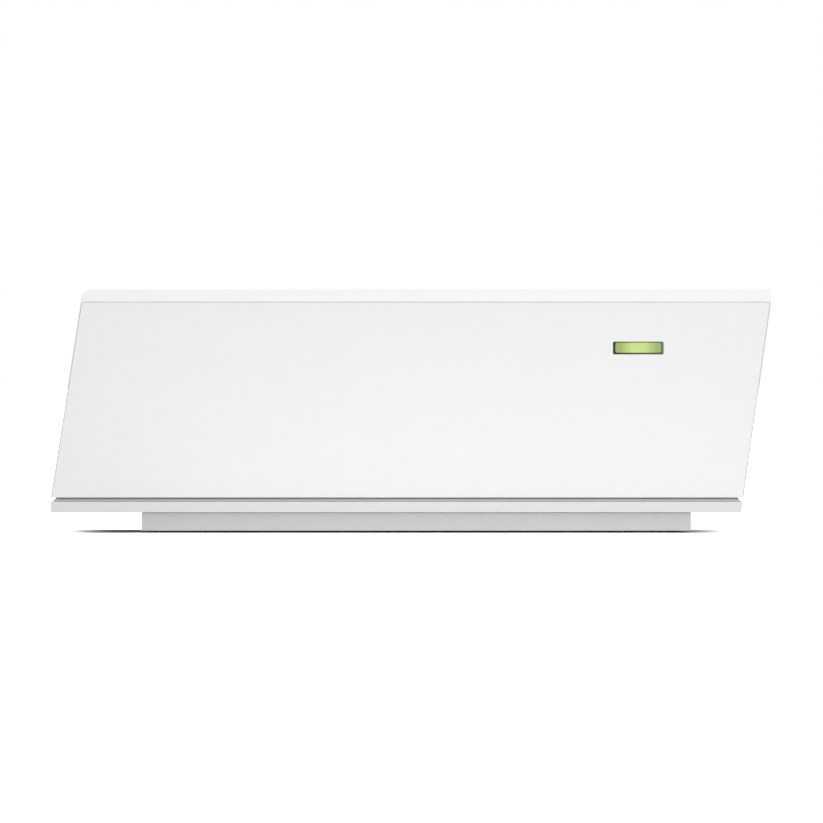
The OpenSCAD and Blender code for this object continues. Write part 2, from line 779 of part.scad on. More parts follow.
// Upright key switch whose plunger points to the rear
module key_switch(x) {
    color(BLACK) difference() {
        block([x - 3, y_panel0 - 8, z_comp], [6, 3.8, 6.4]);
        rod_y(x, y_panel0 - 7, key_z, 1.85, 4);
    }
}

module key_plunger(x, len) {
    color("#e9e9e9") rod_y(x, y_panel0 - 6, key_z, 1.75, len);
}

module pair_switch() {
    key_switch(pair_x);
}

module pair_plunger() {
    key_plunger(pair_x, 2.8);
}

// Round cap with a flange that keeps it behind the panel
module pair_button() {
    y_cap = y_panel0 - 3.2;
    color(WHITE) {
        rod_y(pair_x, y_cap, key_z, 2.4, 1.7);
        rod_y(pair_x, y_cap + 1.6, key_z, pair_r + 0.9, 1.2);
        rod_y(pair_x, y_cap + 2.8 - EPS, key_z, pair_r, panel_t + 0.9 + EPS);
    }
}

module reset_switch() {
    key_switch(reset_x);
}

module reset_plunger() {
    key_plunger(reset_x, 4.2);
}

module volume_pot() {
    color(BLACK) difference() {
        stand(wheel_x, wheel_y - 1, z_comp, [11, 11, 2.6]);
        post(wheel_x, wheel_y, z_comp + 0.6, 1.5 + RUN, 3);
    }
}

// Thumb wheel with a grooved edge, on its own shaft
module volume_wheel() {
    grooves = 30;
    color("#d8d9da") difference() {
        union() {
            post(wheel_x, wheel_y, z_comp + 0.9, 1.5, wheel_z - z_comp);
            post(wheel_x, wheel_y, wheel_z, wheel_r, wheel_t);
        }
        for (i = [0 : grooves - 1]) rotate_about(i * 360 / grooves)
            post(wheel_x + wheel_r + 0.15, wheel_y, wheel_z - 1, 0.45, wheel_t + 2);
        post(wheel_x, wheel_y, wheel_z + wheel_t - 0.8, 5.4, 1);
    }
}

module rotate_about(a) {
    translate([wheel_x, wheel_y, 0]) rotate([0, 0, a]) translate([-wheel_x, -wheel_y, 0]) children();
}

// ---------------------------------------------------------------- chime

// Profile turned about the loudspeaker's axis, which points to the rear; x is radius, y is depth
module turned() {
    translate([chime_x, y_panel0, chime_z]) rotate([-90, 0, 0]) rotate_extrude() children();
}

module speaker_gasket() {
    color("#2c2c2e") turned() polygon([
        [chime_r - 1.9, -0.8], [chime_r, -0.8], [chime_r, 0], [chime_r - 1.9, 0]
    ]);
}

// Pressed frame with four openings round the cone
module speaker_basket() {
    r = chime_r;
    color(STEEL) difference() {
        turned() polygon([
            [r - 2, -0.8], [r, -0.8], [r, -1.5], [r - 1.9, -1.5], [8.9, -6], [8.9, -6.8],
            [4, -6.8], [4, -6.2], [8.2, -6.2], [8.2, -5.6], [r - 2.4, -1.1], [r - 2, -1.1]
        ]);
        for (a = [45 : 90 : 315]) translate([chime_x, y_panel0 - 3.9, chime_z]) rotate([0, a, 0])
            translate([9, 0, 0]) cube([4.4, 2.4, 6], center = true);
    }
}

module speaker_magnet() {
    color("#55585c") turned() polygon([
        [0, -10.2], [7.6, -10.2], [7.6, -7.6], [7, -7.6], [7, -6.8], [0, -6.8]
    ]);
}

module speaker_cone() {
    r = chime_r;
    color("#3a3a3c") turned() polygon([
        [0, -2.9], [1.8, -3.1], [3.4, -3.8], [4.2, -4.4], [r - 3.2, -1.5], [r - 3.2, -1.9], [4.2, -4.9],
        [4, -6], [3.5, -6], [3.4, -4.4], [1.8, -3.5], [0, -3.3]
    ]);
}

module speaker_surround() {
    mid = chime_r - 2.6;
    color(BLACK) turned() polygon(concat(
        [for (a = [0 : 30 : 180]) [mid + 0.55 * cos(a), -1.05 + 0.55 * sin(a)]],
        [for (a = [180 : -30 : 0]) [mid + 0.3 * cos(a), -1.05 + 0.3 * sin(a)]]
    ));
}

ear_angles = [30, 150, 270];
function ear_x(a) = chime_x + ear_r * cos(a);
function ear_z(a) = chime_z + ear_r * sin(a);

// Screws beside the frame, whose heads hold its rim against the panel
module speaker_screws() {
    color(STEEL) for (a = ear_angles) {
        rod_y(ear_x(a), y_panel0 - 1.5 - EPS, ear_z(a), 0.9, 2.7);
        rod_y(ear_x(a), y_panel0 - 2.3, ear_z(a), 1.9, 0.8);
    }
}

plug_spot = [-28, 30];
module speaker_plug() {
    color("#e8e4d6") stand(plug_spot[0], plug_spot[1], z_comp, [6, 5, 6]);
}

module speaker_leads() {
    lead_r = 0.6;
    top = z_comp + 6.1;
    color("#b3262b") tube(smooth([
        [plug_spot[0] - 1.2, plug_spot[1], top], [plug_spot[0] - 2, plug_spot[1], top + 5],
        [-36, 33, top + 9], [chime_x + 9, y_panel0 - 14, chime_z + 1],
        [chime_x + 3, y_panel0 - 10.2 - lead_r, chime_z + 2]], 4), lead_r, [0.1, 1, 0.15]);
    color(BLACK) tube(smooth([
        [plug_spot[0] + 1.2, plug_spot[1], top], [plug_spot[0] + 1, plug_spot[1], top + 6],
        [-35, 35, top + 12], [chime_x + 9, y_panel0 - 14, chime_z + 5],
        [chime_x + 3, y_panel0 - 10.2 - lead_r, chime_z + 5.5]], 4), lead_r, [0.1, 1, 0.15]);
}

module audio_chip() {
    color(BLACK) leaded_chip(-16, 28, [6, 4, 1.5], 4);
}

// ---------------------------------------------------------------- nodes

housing_body();
rear_panel();
base_tray();
top_cover();
wall_bracket();
foot_pads();
case_screws();
light_lens();
light_frame();
light_guide();
light_holder();
status_leds();
main_board();
board_screws();
processor();
thermal_pad();
heat_sink();
memory_chips();
flash_chip();
video_chip();
radio_board();
radio_shield();
antenna_boards();
antenna_leads();
clock_battery();
battery_holder();
network_socket();
network_contacts();
network_lights();
network_transformer();
power_socket();
power_pin();
input_capacitors();
power_inductors();
power_chips();
door_terminal();
release_key(0);  // release_key_1
release_key(1);  // release_key_2
release_key(2);  // release_key_3
release_key(3);  // release_key_4
door_relay();
bus_choke();
pair_switch();
pair_plunger();
pair_button();
reset_switch();
reset_plunger();
volume_pot();
volume_wheel();
speaker_basket();
speaker_magnet();
speaker_cone();
speaker_surround();
speaker_gasket();
speaker_screws();
speaker_leads();
speaker_plug();
audio_chip();
crystals();
small_parts();
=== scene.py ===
import json
import math

import bmesh
import bpy
import numpy as np
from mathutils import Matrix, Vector
from mathutils.geometry import tessellate_polygon

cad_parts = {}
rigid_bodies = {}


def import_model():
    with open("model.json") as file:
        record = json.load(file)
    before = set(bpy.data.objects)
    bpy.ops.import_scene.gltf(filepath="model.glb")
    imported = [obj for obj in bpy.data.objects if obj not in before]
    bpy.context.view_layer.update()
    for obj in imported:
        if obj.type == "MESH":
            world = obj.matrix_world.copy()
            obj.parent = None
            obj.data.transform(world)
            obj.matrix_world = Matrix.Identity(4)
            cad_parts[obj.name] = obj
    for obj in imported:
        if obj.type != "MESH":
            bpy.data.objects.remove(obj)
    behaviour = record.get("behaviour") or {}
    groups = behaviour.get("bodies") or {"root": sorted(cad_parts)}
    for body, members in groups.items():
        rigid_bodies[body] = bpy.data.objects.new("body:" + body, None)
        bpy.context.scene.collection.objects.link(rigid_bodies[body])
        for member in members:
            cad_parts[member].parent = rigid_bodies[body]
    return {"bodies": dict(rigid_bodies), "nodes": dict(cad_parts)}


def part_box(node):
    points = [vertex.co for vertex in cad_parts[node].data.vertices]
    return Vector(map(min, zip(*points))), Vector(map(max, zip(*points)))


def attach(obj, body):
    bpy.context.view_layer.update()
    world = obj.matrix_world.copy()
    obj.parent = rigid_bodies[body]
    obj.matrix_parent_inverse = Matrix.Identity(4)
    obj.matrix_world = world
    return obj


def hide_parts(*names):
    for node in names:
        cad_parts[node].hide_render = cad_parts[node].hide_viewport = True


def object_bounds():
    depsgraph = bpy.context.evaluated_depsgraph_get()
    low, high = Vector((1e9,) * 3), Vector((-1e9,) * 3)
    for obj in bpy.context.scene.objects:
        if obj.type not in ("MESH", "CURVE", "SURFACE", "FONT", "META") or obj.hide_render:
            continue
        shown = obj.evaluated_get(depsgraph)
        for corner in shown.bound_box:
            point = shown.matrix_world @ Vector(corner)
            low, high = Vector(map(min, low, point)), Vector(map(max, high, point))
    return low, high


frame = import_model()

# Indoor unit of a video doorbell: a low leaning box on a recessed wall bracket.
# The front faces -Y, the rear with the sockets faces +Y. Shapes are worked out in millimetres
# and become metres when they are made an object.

bl_info = {
    "name": "Doorbell indoor unit",
    "version": (1, 0, 0),
    "blender": (4, 5, 0),
    "location": "3D Viewport > Sidebar > Doorbell",
    "description": "Dresses the frame of a doorbell's indoor unit with finished pieces "
                   "and materials",
    "category": "Add Mesh",
}

MM = 0.001
NODES = frame["nodes"]
CAD_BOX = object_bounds()
LEAN = math.tan(math.radians(8.4))
DRAFT = math.tan(math.radians(0.45))

# The camera's view in metres: its width where the front is, and the point it looks at.
VIEW_WIDTH, VIEW_X, VIEW_Z = 0.1646, 0.00014, 0.0243

# Width in millimetres of each lamp in the network jack.
LAMP_WIDTH = 2.7

# The opening for the volume wheel, in millimetres: half sizes, and how far its middle lies under
# the top of the wheel.
SLOT_HALF_X, SLOT_HALF_Z, SLOT_DROP = 6.6, 2.0, 1.5

for thing in list(bpy.data.objects):
    if thing not in NODES.values() and thing not in frame["bodies"].values():
        bpy.data.objects.remove(thing)


def corners(node):
    """Lowest and highest corner of a frame node at rest, in millimetres."""
    low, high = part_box(node)
    return np.array(low) / MM, np.array(high) / MM


def middle(node):
    low, high = corners(node)
    return (low + high) / 2


# ------------------------------------------------------------------ surfaces


def quads(rows, columns, close_rows=False, close_columns=False):
    """Faces of a grid whose point (i, j) has number i * columns + j; a closed side joins its
    last line to its first."""
    i = np.arange(rows if close_rows else rows - 1)
    j = np.arange(columns if close_columns else columns - 1)
    i, j = np.meshgrid(i, j, indexing="ij")
    i, j = i.ravel(), j.ravel()
    down, right = (i + 1) % rows, (j + 1) % columns
    return np.stack([i * columns + j, down * columns + j, down * columns + right,
                     i * columns + right], 1)


def facing(points, axis):
    """Points of a shape made about Z, turned so that its axis is x, y, z or their opposites."""
    x, y, z = points[..., 0], points[..., 1], points[..., 2]
    order = {"z": (x, y, z), "-z": (x, -y, -z), "y": (-x, z, y), "-y": (x, -z, y), "x": (z, x, y),
             "-x": (-z, -x, y)}
    return np.stack(order[axis], -1)


def turned(profile, centre, axis="z", steps=48, arc=2 * math.pi, start=0.0):
    """Profile (radius, height) turned about an axis through centre: a point at angle a is
    radius * (cos a, sin a) across the axis and height along it. A full turn is closed, and a
    smaller arc stays open at its sides."""
    profile = np.asarray(profile, float)
    whole = arc > 6.28
    angle = start + np.linspace(0, arc, steps, endpoint=not whole)
    points = np.stack([
        profile[:, None, 0] * np.cos(angle), profile[:, None, 0] * np.sin(angle),
        np.repeat(profile[:, None, 1], steps, 1)
    ], -1).reshape(-1, 3)
    return facing(points, axis) + np.asarray(centre, float), quads(
        len(profile), steps, False, whole)


def stacked(loops, caps=True):
    """Skin over closed loops of equal length, given as an array (loop, point, 3)."""
    loops = np.asarray(loops, float)
    rows, columns = loops.shape[:2]
    faces = quads(rows, columns, False, True).tolist()
    if caps:
        faces.append(list(range(columns)))
        faces.append(list(range((rows - 1) * columns, rows * columns))[::-1])
    return loops.reshape(-1, 3), faces


def frames(path, up):
    """Side and upper direction at each point of a path: both lie across the path, and side
    also lies across up."""
    heading = np.gradient(path, axis=0)
    heading /= np.linalg.norm(heading, axis=1)[:, None]
    side = np.cross(heading, np.asarray(up, float))
    side /= np.linalg.norm(side, axis=1)[:, None]
    return side, np.cross(side, heading)


def swept(path, radius, up, sides=12):
    """Round tube along a path: each ring is a circle across the path, and both ends close on
    half balls whose rings shrink as the cosine of an angle while they move out by its sine."""
    path = np.asarray(path, float)
    side, over = frames(path, up)
    heading = np.cross(over, side)
    tilt = np.linspace(math.pi / 2, 0, 5)[:-1]
    first = path[0] - heading[0] * radius * np.sin(tilt)[:, None]
    last = path[-1] + heading[-1] * radius * np.sin(tilt[::-1])[:, None]
    rings = np.vstack([first, path, last])
    size = np.concatenate([np.cos(tilt), np.ones(len(path)), np.cos(tilt[::-1])]) * radius
    side = np.vstack([np.repeat(side[:1], 4, 0), side, np.repeat(side[-1:], 4, 0)])
    over = np.vstack([np.repeat(over[:1], 4, 0), over, np.repeat(over[-1:], 4, 0)])
    angle = np.arange(sides) * 2 * math.pi / sides
    points = rings[:, None] + size[:, None, None] * (
        np.cos(angle)[None, :, None] * side[:, None] + np.sin(angle)[None, :, None] *
            over[:, None])
    return points.reshape(-1, 3), quads(len(rings), sides, False, True)


def strap(path, width, thick, up):
    """Flat strip along a path: a rectangle of width across the path and thick along its upper
    direction."""
    path = np.asarray(path, float)
    side, over = frames(path, up)
    loops = [path + side * a * width / 2 + over * b * thick / 2 for a,
             b in ((-1, -1), (1, -1), (1, 1), (-1, 1))]
    return stacked(np.stack(loops, 1))


def smooth_path(points, steps=8):
    """Curve through the points: between two of them it is the cubic that leaves each along its
    neighbours' chord."""
    p = np.asarray(points, float)
    p = np.vstack([p[0], p, p[-1]])
    t = np.linspace(0, 1, steps, endpoint=False)[None, :, None]
    a, b, c, d = p[:-3, None], p[1:-2, None], p[2:-1, None], p[3:, None]
    body = 0.5 * (2 * b + (c - a) * t + (2 * a - 5 * b + 4 * c - d) * t**2
                  + (3 * b - a - 3 * c + d) * t**3)
    return np.vstack([body.reshape(-1, 3), p[-2]])


def ring(half_x, half_y, radius, steps=6):
    """Rectangle with round corners about the origin: four quarter circles whose centres are
    set in by radius."""
    turn = np.linspace(0, math.pi / 2, steps)
    angle = np.concatenate([turn + k * math.pi / 2 for k in range(4)])
    x, y = np.repeat([1, -1, -1, 1], steps), np.repeat([1, 1, -1, -1], steps)
    return np.stack([x * (half_x - radius) + radius * np.cos(angle),
                     y * (half_y - radius) + radius * np.sin(angle)], 1)


def tower(spot, rows, axis="z"):
    """Round-cornered rectangles laid over each other, one for each (half width, half depth,
    corner, height)."""
    loops = np.stack([np.column_stack([ring(a, b, min(c, a, b)), np.full(24, z)])
                      for a, b, c, z in rows])
    points, faces = stacked(loops)
    return facing(points, axis) + np.asarray(spot, float), faces


def pillow(spot, size, corner, edge, axis="z"):
    """Block standing on its spot, with round corners; its upper and lower edges are quarter
    rounds."""
    turn = np.linspace(0, math.pi / 2, 4)
    inset, rise = edge * (1 - np.sin(turn)), edge * (1 - np.cos(turn))
    a, b, tall = size[0] / 2, size[1] / 2, size[2]
    rows = [(a - i, b - i, max(corner - i, 0.01), r) for i, r in zip(inset, rise)]
    rows += [(a - i, b - i, max(corner - i, 0.01), tall - r) for i,
             r in zip(inset[::-1], rise[::-1])]
    return tower(spot, rows, axis)


def soft_boxes(low, high, radius, steps=2):
    """Boxes with round edges, one for each row of low and high. Each corner is an eighth of a
    ball, moved out to where the box's corner is, and straight strips join them."""
    low, high = np.atleast_2d(low).astype(float), np.atleast_2d(high).astype(float)
    centre, half = (low + high) / 2, (high - low) / 2
    turn = np.linspace(0, math.pi / 2, steps + 1)
    lat = np.concatenate([turn - math.pi / 2, turn])
    lon = (np.arange(4)[:, None] * math.pi / 2 + turn).ravel()
    x_sign, y_sign = np.repeat([1, -1, -1, 1], steps + 1), np.repeat([1, 1, -1, -1], steps + 1)
    ball = np.stack([
        np.cos(lat)[:, None] * np.cos(lon), np.cos(lat)[:, None] * np.sin(lon),
        np.repeat(np.sin(lat)[:, None], len(lon), 1)
    ], -1).reshape(-1, 3)
    sign = np.stack([
        np.tile(x_sign, len(lat)), np.tile(y_sign, len(lat)),
        np.repeat(np.repeat([-1, 1], steps + 1), len(lon))
    ], -1)
    points = centre[:, None] + sign * (half[:, None] - radius) + radius * ball
    one = quads(len(lat), len(lon), False, True)
    lid = np.arange(4) * (steps + 1)
    one = np.vstack([one, lid, lid[::-1] + (len(lat) - 1) * len(lon)])
    faces = one[None] + (np.arange(len(low)) * len(ball))[:, None, None]
    return points.reshape(-1, 3), faces.reshape(-1, 4)


def plate(outer, holes, y0, y1, edge, steps=4):
    """Plate across Y with round-cornered holes, each given as (x, z, half width, half height,
    corner) or, like outer, as a function of the inset. Every loop is carried from y0 to y1;
    near both faces it draws into the plate as a quarter round, and the flat rests are filled
    with triangles between the loops. outer gives the outline, an array (point, x and z), drawn
    in by its argument."""
    turn = np.linspace(0, math.pi / 2, steps)
    inset, depth = edge * (1 - np.sin(turn)), edge * (1 - np.cos(turn))
    rows = [(i, y0 + d) for i, d in zip(inset, depth)] + [(i, y1 - d) for i,
                                                          d in zip(inset[::-1], depth[::-1])]
    shapes = [outer] + [
        h if callable(h) else lambda i, h=h: np.array([h[0], h[1]]) + ring(
            h[2] + i, h[3] + i, h[4] + i,
            12 if h[4] > 2 else 8 if h[4] > 0.6 else 4) for h in holes]
    skins = []
    for shape in shapes:
        loops = [np.insert(shape(i), 1, y, axis=1) for i, y in rows]
        skins.append(stacked(loops, caps=False))
    for inset_at, y in (rows[0], rows[-1]):
        loops = [shape(inset_at) for shape in shapes]
        fill = tessellate_polygon([[Vector((u, v, 0)) for u, v in loop] for loop in loops])
        skins.append((np.insert(np.vstack(loops), 1, y, axis=1), [list(face) for face in fill]))
    return joined(*skins)


def copies(skin, spots, turns=0.0):
    """The skin once for each spot (x, y, z), each copy first turned about Z by its angle."""
    points, faces = np.asarray(skin[0], float), as_list(skin[1])
    spots = np.atleast_2d(spots).astype(float)
    turns = np.broadcast_to(turns, len(spots))
    c, s = np.cos(turns)[:, None], np.sin(turns)[:, None]
    x, y, z = points[None, :, 0], points[None, :, 1], points[None, :, 2] + 0 * c
    moved = np.stack([x * c - y * s, x * s + y * c, z], -1) + spots[:, None]
    count = len(points)
    return moved.reshape(-1, 3), [
        [k + n * count for k in face] for n in range(len(spots)) for face in faces]


def ribbons(paths, width, z0, z1):
    """Flat strips along level paths, an array (strip, point, 2): each edge lies half the width
    to one side, along the mean of the two directions that meet at a point and stretched there
    so that the strip keeps its width."""
    paths = np.asarray(paths, float)
    step = np.diff(paths, axis=1)
    step /= np.linalg.norm(step, axis=2)[..., None]
    mean = np.concatenate([step[:, :1], step[:, :-1] + step[:, 1:], step[:, -1:]], 1)
    mean /= np.linalg.norm(mean, axis=2)[..., None]
    stretch = np.ones(mean.shape[:2])
    stretch[:, 1:-1] /= (mean[:, 1:-1] * step[:, 1:]).sum(2)
    half = np.stack([-mean[..., 1], mean[..., 0]], -1) * stretch[..., None] * width / 2
    level = [np.full(paths.shape[:2] + (1,), z) for z in (z0, z1)]
    loops = np.stack([np.concatenate([edge, z], -1) for edge, z in (
        (paths + half, level[0]), (paths + half, level[1]), (paths - half, level[1]),
        (paths - half, level[0]))], 2)
    rows = paths.shape[1]
    one = np.vstack([quads(rows, 4, False, True), [0, 1, 2, 3],
                     np.arange(4)[::-1] + (rows - 1) * 4])
    faces = one[None] + (np.arange(len(paths)) * rows * 4)[:, None, None]
    return loops.reshape(-1, 3), faces.reshape(-1, 4)


def step_up(value):
    """Smooth step from 0 at value 0 to 1 at value 1."""
    value = np.clip(value, 0, 1)
    return value * value * (3 - 2 * value)


def screw(spot, head_r, head_t, shank_r, length, axis="z", pitch=0.8):
    """Pan-head screw whose head stands on its spot and points along the axis. The head is a
    dome that falls as the square of the radius, less a cross recess made of two smooth bars;
    the shank's radius swings as a triangle wave of height / pitch less the angle's share of a
    turn."""
    columns = 48
    angle = np.arange(columns) * 2 * math.pi / columns
    share = np.linspace(0, 1, 20)
    r = head_r * share[:, None] + 0 * angle
    x, y = r * np.cos(angle), r * np.sin(angle)
    dome = head_t * (1 - 0.22 * share**2 - 0.3 * step_up((share - 0.8) / 0.2))[:, None]
    wide, long = head_r * 0.13, head_r * 0.48

    def bar(u, v):
        return step_up((wide - np.abs(u)) / 0.09 + 0.5) * step_up((long - np.abs(v)) / 0.3 + 0.5)

    top = dome - 0.6 * head_t * np.maximum(bar(x, y), bar(y, x))
    head = np.stack([x, y, top], -1)
    drop = np.arange(0, length - 0.6, pitch / 6)
    wave = np.abs(((drop[:, None] / pitch - angle / (2 * math.pi)) % 1) * 2 - 1)
    thread = shank_r * (0.8 + 0.2 * wave * step_up(drop / 1.0)[:, None])
    shank = np.stack([thread * np.cos(angle), thread * np.sin(angle), -drop[:, None] + 0 * angle],
                     -1)

    def circle(radius, z):
        return np.stack([radius * np.cos(angle), radius * np.sin(angle), z + 0 * angle], -1)[None]

    rows = np.concatenate([
        head, circle(head_r, head_t * 0.2), circle(head_r * 0.97, 0), circle(shank_r * 0.9, 0),
        shank[1:],
        circle(shank_r * 0.55, -length + 0.25), circle(shank_r * 0.1, -length)
    ])
    points, faces = stacked(rows)
    return facing(points, axis) + np.asarray(spot, float), faces


def leaded(spot, size, count, pitch, width=0.35, four=False, thick=0.16):
    """Moulded chip with bent legs. The body is two blunt pyramids base to base; each leg is
    one outline (level, then sloping down, then flat on the board) carried across its width.
    Returns the body and the legs."""
    a, b, tall = size[0] / 2, size[1] / 2, size[2]
    waist = 0.15 + tall * 0.45
    body = tower(spot, [
        (a - 0.2, b - 0.2, 0.1, 0.15), (a - 0.12, b - 0.12, 0.12, 0.2), (a, b, 0.15, waist),
        (a, b, 0.15, waist + 0.08),
        (a - 0.1, b - 0.1, 0.12, tall), (a - 0.16, b - 0.16, 0.12, tall + 0.07),
        (a - 0.25, b - 0.25, 0.1, tall + 0.1)])
    line = np.array([[-0.2, waist], [0.12, waist], [0.2, waist - 0.06], [0.34, thick * 0.9],
                     [0.42, thick / 2],
                     [0.72, thick / 2]])
    outline = np.vstack([line + [0, thick / 2], (line - [0, thick / 2])[::-1]])
    one = stacked([np.column_stack([np.full(12, s * width / 2), outline]) for s in (-1, 1)])
    along = (np.arange(count) - (count - 1) / 2) * pitch
    zero = 0 * along
    rows = [(np.column_stack([along, zero + b, zero]), 0),
            (np.column_stack([along, zero - b, zero]), math.pi)]
    if four:
        rows += [(np.column_stack([zero + a, along, zero]), -math.pi / 2),
                 (np.column_stack([zero - a, along, zero]), math.pi / 2)]
    legs = joined(*[copies(one, places + np.asarray(spot, float), turn) for places, turn in rows])
    return body, legs


def as_list(faces):
    return faces.tolist() if hasattr(faces, "tolist") else faces


def joined(*skins):
    """Several (points, faces) pairs as one."""
    points, faces, count = [], [], 0
    for p, f in skins:
        points.append(np.asarray(p))
        faces.extend([[k + count for k in face] for face in as_list(f)])
        count += len(p)
    return np.vstack(points), faces


def piece(name, parts, body, replaces=(), flat=False):
    """Makes one finished object from pairs of skin and material: doubles merged, faces
    outwards, riding on its body."""
    if isinstance(parts, tuple):
        parts = [parts]
    points, faces = joined(*[skin for skin, _ in parts])
    count = [len(skin[1]) for skin, _ in parts]
    mesh = bpy.data.meshes.new(name)
    mesh.from_pydata((points * MM).tolist(), [], faces)
    mesh.polygons.foreach_set("material_index", np.repeat(np.arange(len(parts)), count))
    for _, material in parts:
        mesh.materials.append(material)
    shape = bmesh.new()
    shape.from_mesh(mesh)
    bmesh.ops.remove_doubles(shape, verts=shape.verts, dist=2e-7)
    bmesh.ops.dissolve_degenerate(shape, edges=shape.edges, dist=1e-8)
    bmesh.ops.recalc_face_normals(shape, faces=shape.faces)
    shape.to_mesh(mesh)
    shape.free()
    mesh.polygons.foreach_set("use_smooth", [not flat] * len(mesh.polygons))
    thing = bpy.data.objects.new(name, mesh)
    bpy.context.scene.collection.objects.link(thing)
    if not flat:
        weigh(thing)
    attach(thing, body)
    if replaces:
        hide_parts(*replaces)


def weigh(thing):
    normals = thing.modifiers.new("Even shading", "WEIGHTED_NORMAL")
    normals.mode = "FACE_AREA"
    normals.weight = 100
    normals.keep_sharp = False


def soften(node, width, material):
    """Rounds the edges of a frame node: its loose faces are joined, flat ones merged, and
    edges rounded."""
    thing = NODES[node]
    weld = thing.modifiers.new("Join", "WELD")
    weld.merge_threshold = 1e-6
    plane = thing.modifiers.new("Merge flats", "DECIMATE")
    plane.decimate_type = "DISSOLVE"
    plane.angle_limit = math.radians(0.3)
    edge = thing.modifiers.new("Round edges", "BEVEL")
    edge.width = width * MM
    edge.segments = 3
    edge.limit_method = "ANGLE"
    edge.angle_limit = math.radians(35)
    edge.use_clamp_overlap = False
    edge.miter_outer = "MITER_ARC"
    thing.data.polygons.foreach_set("use_smooth", [True] * len(thing.data.polygons))
    weigh(thing)
    dress(node, material)


def dress(node, material):
    """Gives a frame node a material in each of its slots."""
    if not NODES[node].material_slots:
        NODES[node].data.materials.append(material)
    for slot in NODES[node].material_slots:
        slot.material = material


# ------------------------------------------------------------------ materials


class Nodes:
    """Short hand for building one material's node tree on object coordinates."""

    def __init__(self, name):
        self.material = name if isinstance(name,
                                           bpy.types.Material) else bpy.data.materials.new(name)
        self.material.use_nodes = True
        self.tree = self.material.node_tree
        self.shader = self.tree.nodes["Principled BSDF"]
        self.place = self.tree.nodes.new("ShaderNodeTexCoord").outputs["Object"]

    def node(self, kind, **values):
        made = self.tree.nodes.new(kind)
        for key, value in values.items():
            if key in made.inputs:
                made.inputs[key].default_value = value
            else:
                setattr(made, key, value)
        return made

    def link(self, a, b):
        self.tree.links.new(a, b)

    def to(self, value, socket):
        self.tree.links.new(value, self.shader.inputs[socket])

    def set(self, **values):
        for key, value in values.items():
            self.shader.inputs[key.replace("_", " ")].default_value = value

    def moved(self, scale=(1, 1, 1), place=(0, 0, 0)):
        mapping = self.node("ShaderNodeMapping", Scale=scale, Location=place)
        self.link(self.place, mapping.inputs["Vector"])
        return mapping.outputs["Vector"]

    def noise(self, scale, detail=2.0, rough=0.5, stretch=None):
        made = self.node("ShaderNodeTexNoise", Scale=scale, Detail=detail, Roughness=rough)
        self.link(self.place if stretch is None else self.moved(stretch), made.inputs["Vector"])
        return made.outputs["Fac"]

    def rings(self, spot, scale):
        """Noise that depends only on the distance from an upright axis, as turned metal shows."""
        plane = (1, 1, 0)
        centre = [-p * MM * s for p, s in zip(spot, plane)]
        size = self.node("ShaderNodeVectorMath", operation="LENGTH")
        self.link(self.moved(plane, centre), size.inputs[0])
        made = self.node("ShaderNodeTexNoise", noise_dimensions="1D", Scale=scale, Detail=3.0)
        self.link(size.outputs["Value"], made.inputs["W"])
        return made.outputs["Fac"]

    def cells(self, scale, metric, stretch):
        made = self.node("ShaderNodeTexVoronoi", distance=metric, Scale=scale)
        self.link(self.moved(stretch), made.inputs["Vector"])
        return made.outputs["Distance"]

    def axis(self, name):
        """The X, Y or Z of a point."""
        apart = self.node("ShaderNodeSeparateXYZ")
        self.link(self.place, apart.inputs[0])
        return apart.outputs[name]

    def work(self, operation, *values):
        """Result of a math operation whose values are numbers or sockets."""
        made = self.node("ShaderNodeMath", operation=operation)
        for value, socket in zip(values, made.inputs):
            if isinstance(value, bpy.types.NodeSocket):
                self.link(value, socket)
            else:
                socket.default_value = value
        return made.outputs[0]

    def scaled(self, colour, factor):
        made = self.node("ShaderNodeVectorMath", operation="SCALE")
        self.link(colour, made.inputs[0])
        self.link(factor, made.inputs["Scale"])
        return made.outputs[0]

    def ramp(self, value, stops):
        made = self.node("ShaderNodeValToRGB")
        ramp = made.color_ramp
        while len(ramp.elements) < len(stops):
            ramp.elements.new(0.5)
        for element, (at, colour) in zip(ramp.elements, stops):
            element.position = at
            element.color = (*colour, 1)
        self.link(value, made.inputs["Fac"])
        return made.outputs["Color"]

    def spread(self, value, low, high, start=0.3, end=0.7):
        made = self.node("ShaderNodeMapRange")
        made.inputs["From Min"].default_value = start
        made.inputs["From Max"].default_value = end
        made.inputs["To Min"].default_value = low
        made.inputs["To Max"].default_value = high
        self.link(value, made.inputs["Value"])
        return made.outputs["Result"]

    def relief(self, value, depth, after=None):
        made = self.node("ShaderNodeBump")
        made.inputs["Strength"].default_value = 1.0
        made.inputs["Distance"].default_value = depth
        self.link(value, made.inputs["Height"])
        if after is not None:
            self.link(after, made.inputs["Normal"])
        return made.outputs["Normal"]


def shade(colour, factor):
    return tuple(min(1.0, c * factor) for c in colour)


def moulded(name, colour, rough=0.5, grain=0.22, depth=0.006, tint=0.02, painted_shade_band=None):
    """Moulded plastic: a fine spark-eroded grain over a wider orange peel, with faint changes
    of tone and gloss. The last argument gives the lowest and highest z of a zone and how much
    of the tone stays there: a painted shade darkens that zone."""
    n = Nodes(name)
    tone = n.ramp(n.noise(55, 2), [(0.3, shade(colour, 1 - tint)), (0.7, shade(colour, 1 + tint))])
    # painted shade: within the zone of z the tone is darkened
    if painted_shade_band:
        low, high, keep = painted_shade_band
        within = n.work("COMPARE", n.axis("Z"), (low + high) / 2 * MM, (high - low) / 2 * MM)
        tone = n.scaled(tone, n.spread(within, 1, keep, 0, 1))
    n.to(tone, "Base Color")
    n.to(n.spread(n.noise(900, 2), rough - 0.05, rough + 0.06), "Roughness")
    peel = n.relief(n.noise(420, 1), depth * 2 * MM)
    n.to(n.relief(n.noise(1 / (grain * MM), 3, 0.6), depth * MM, peel), "Normal")
    n.set(IOR=1.47)
    return n.material


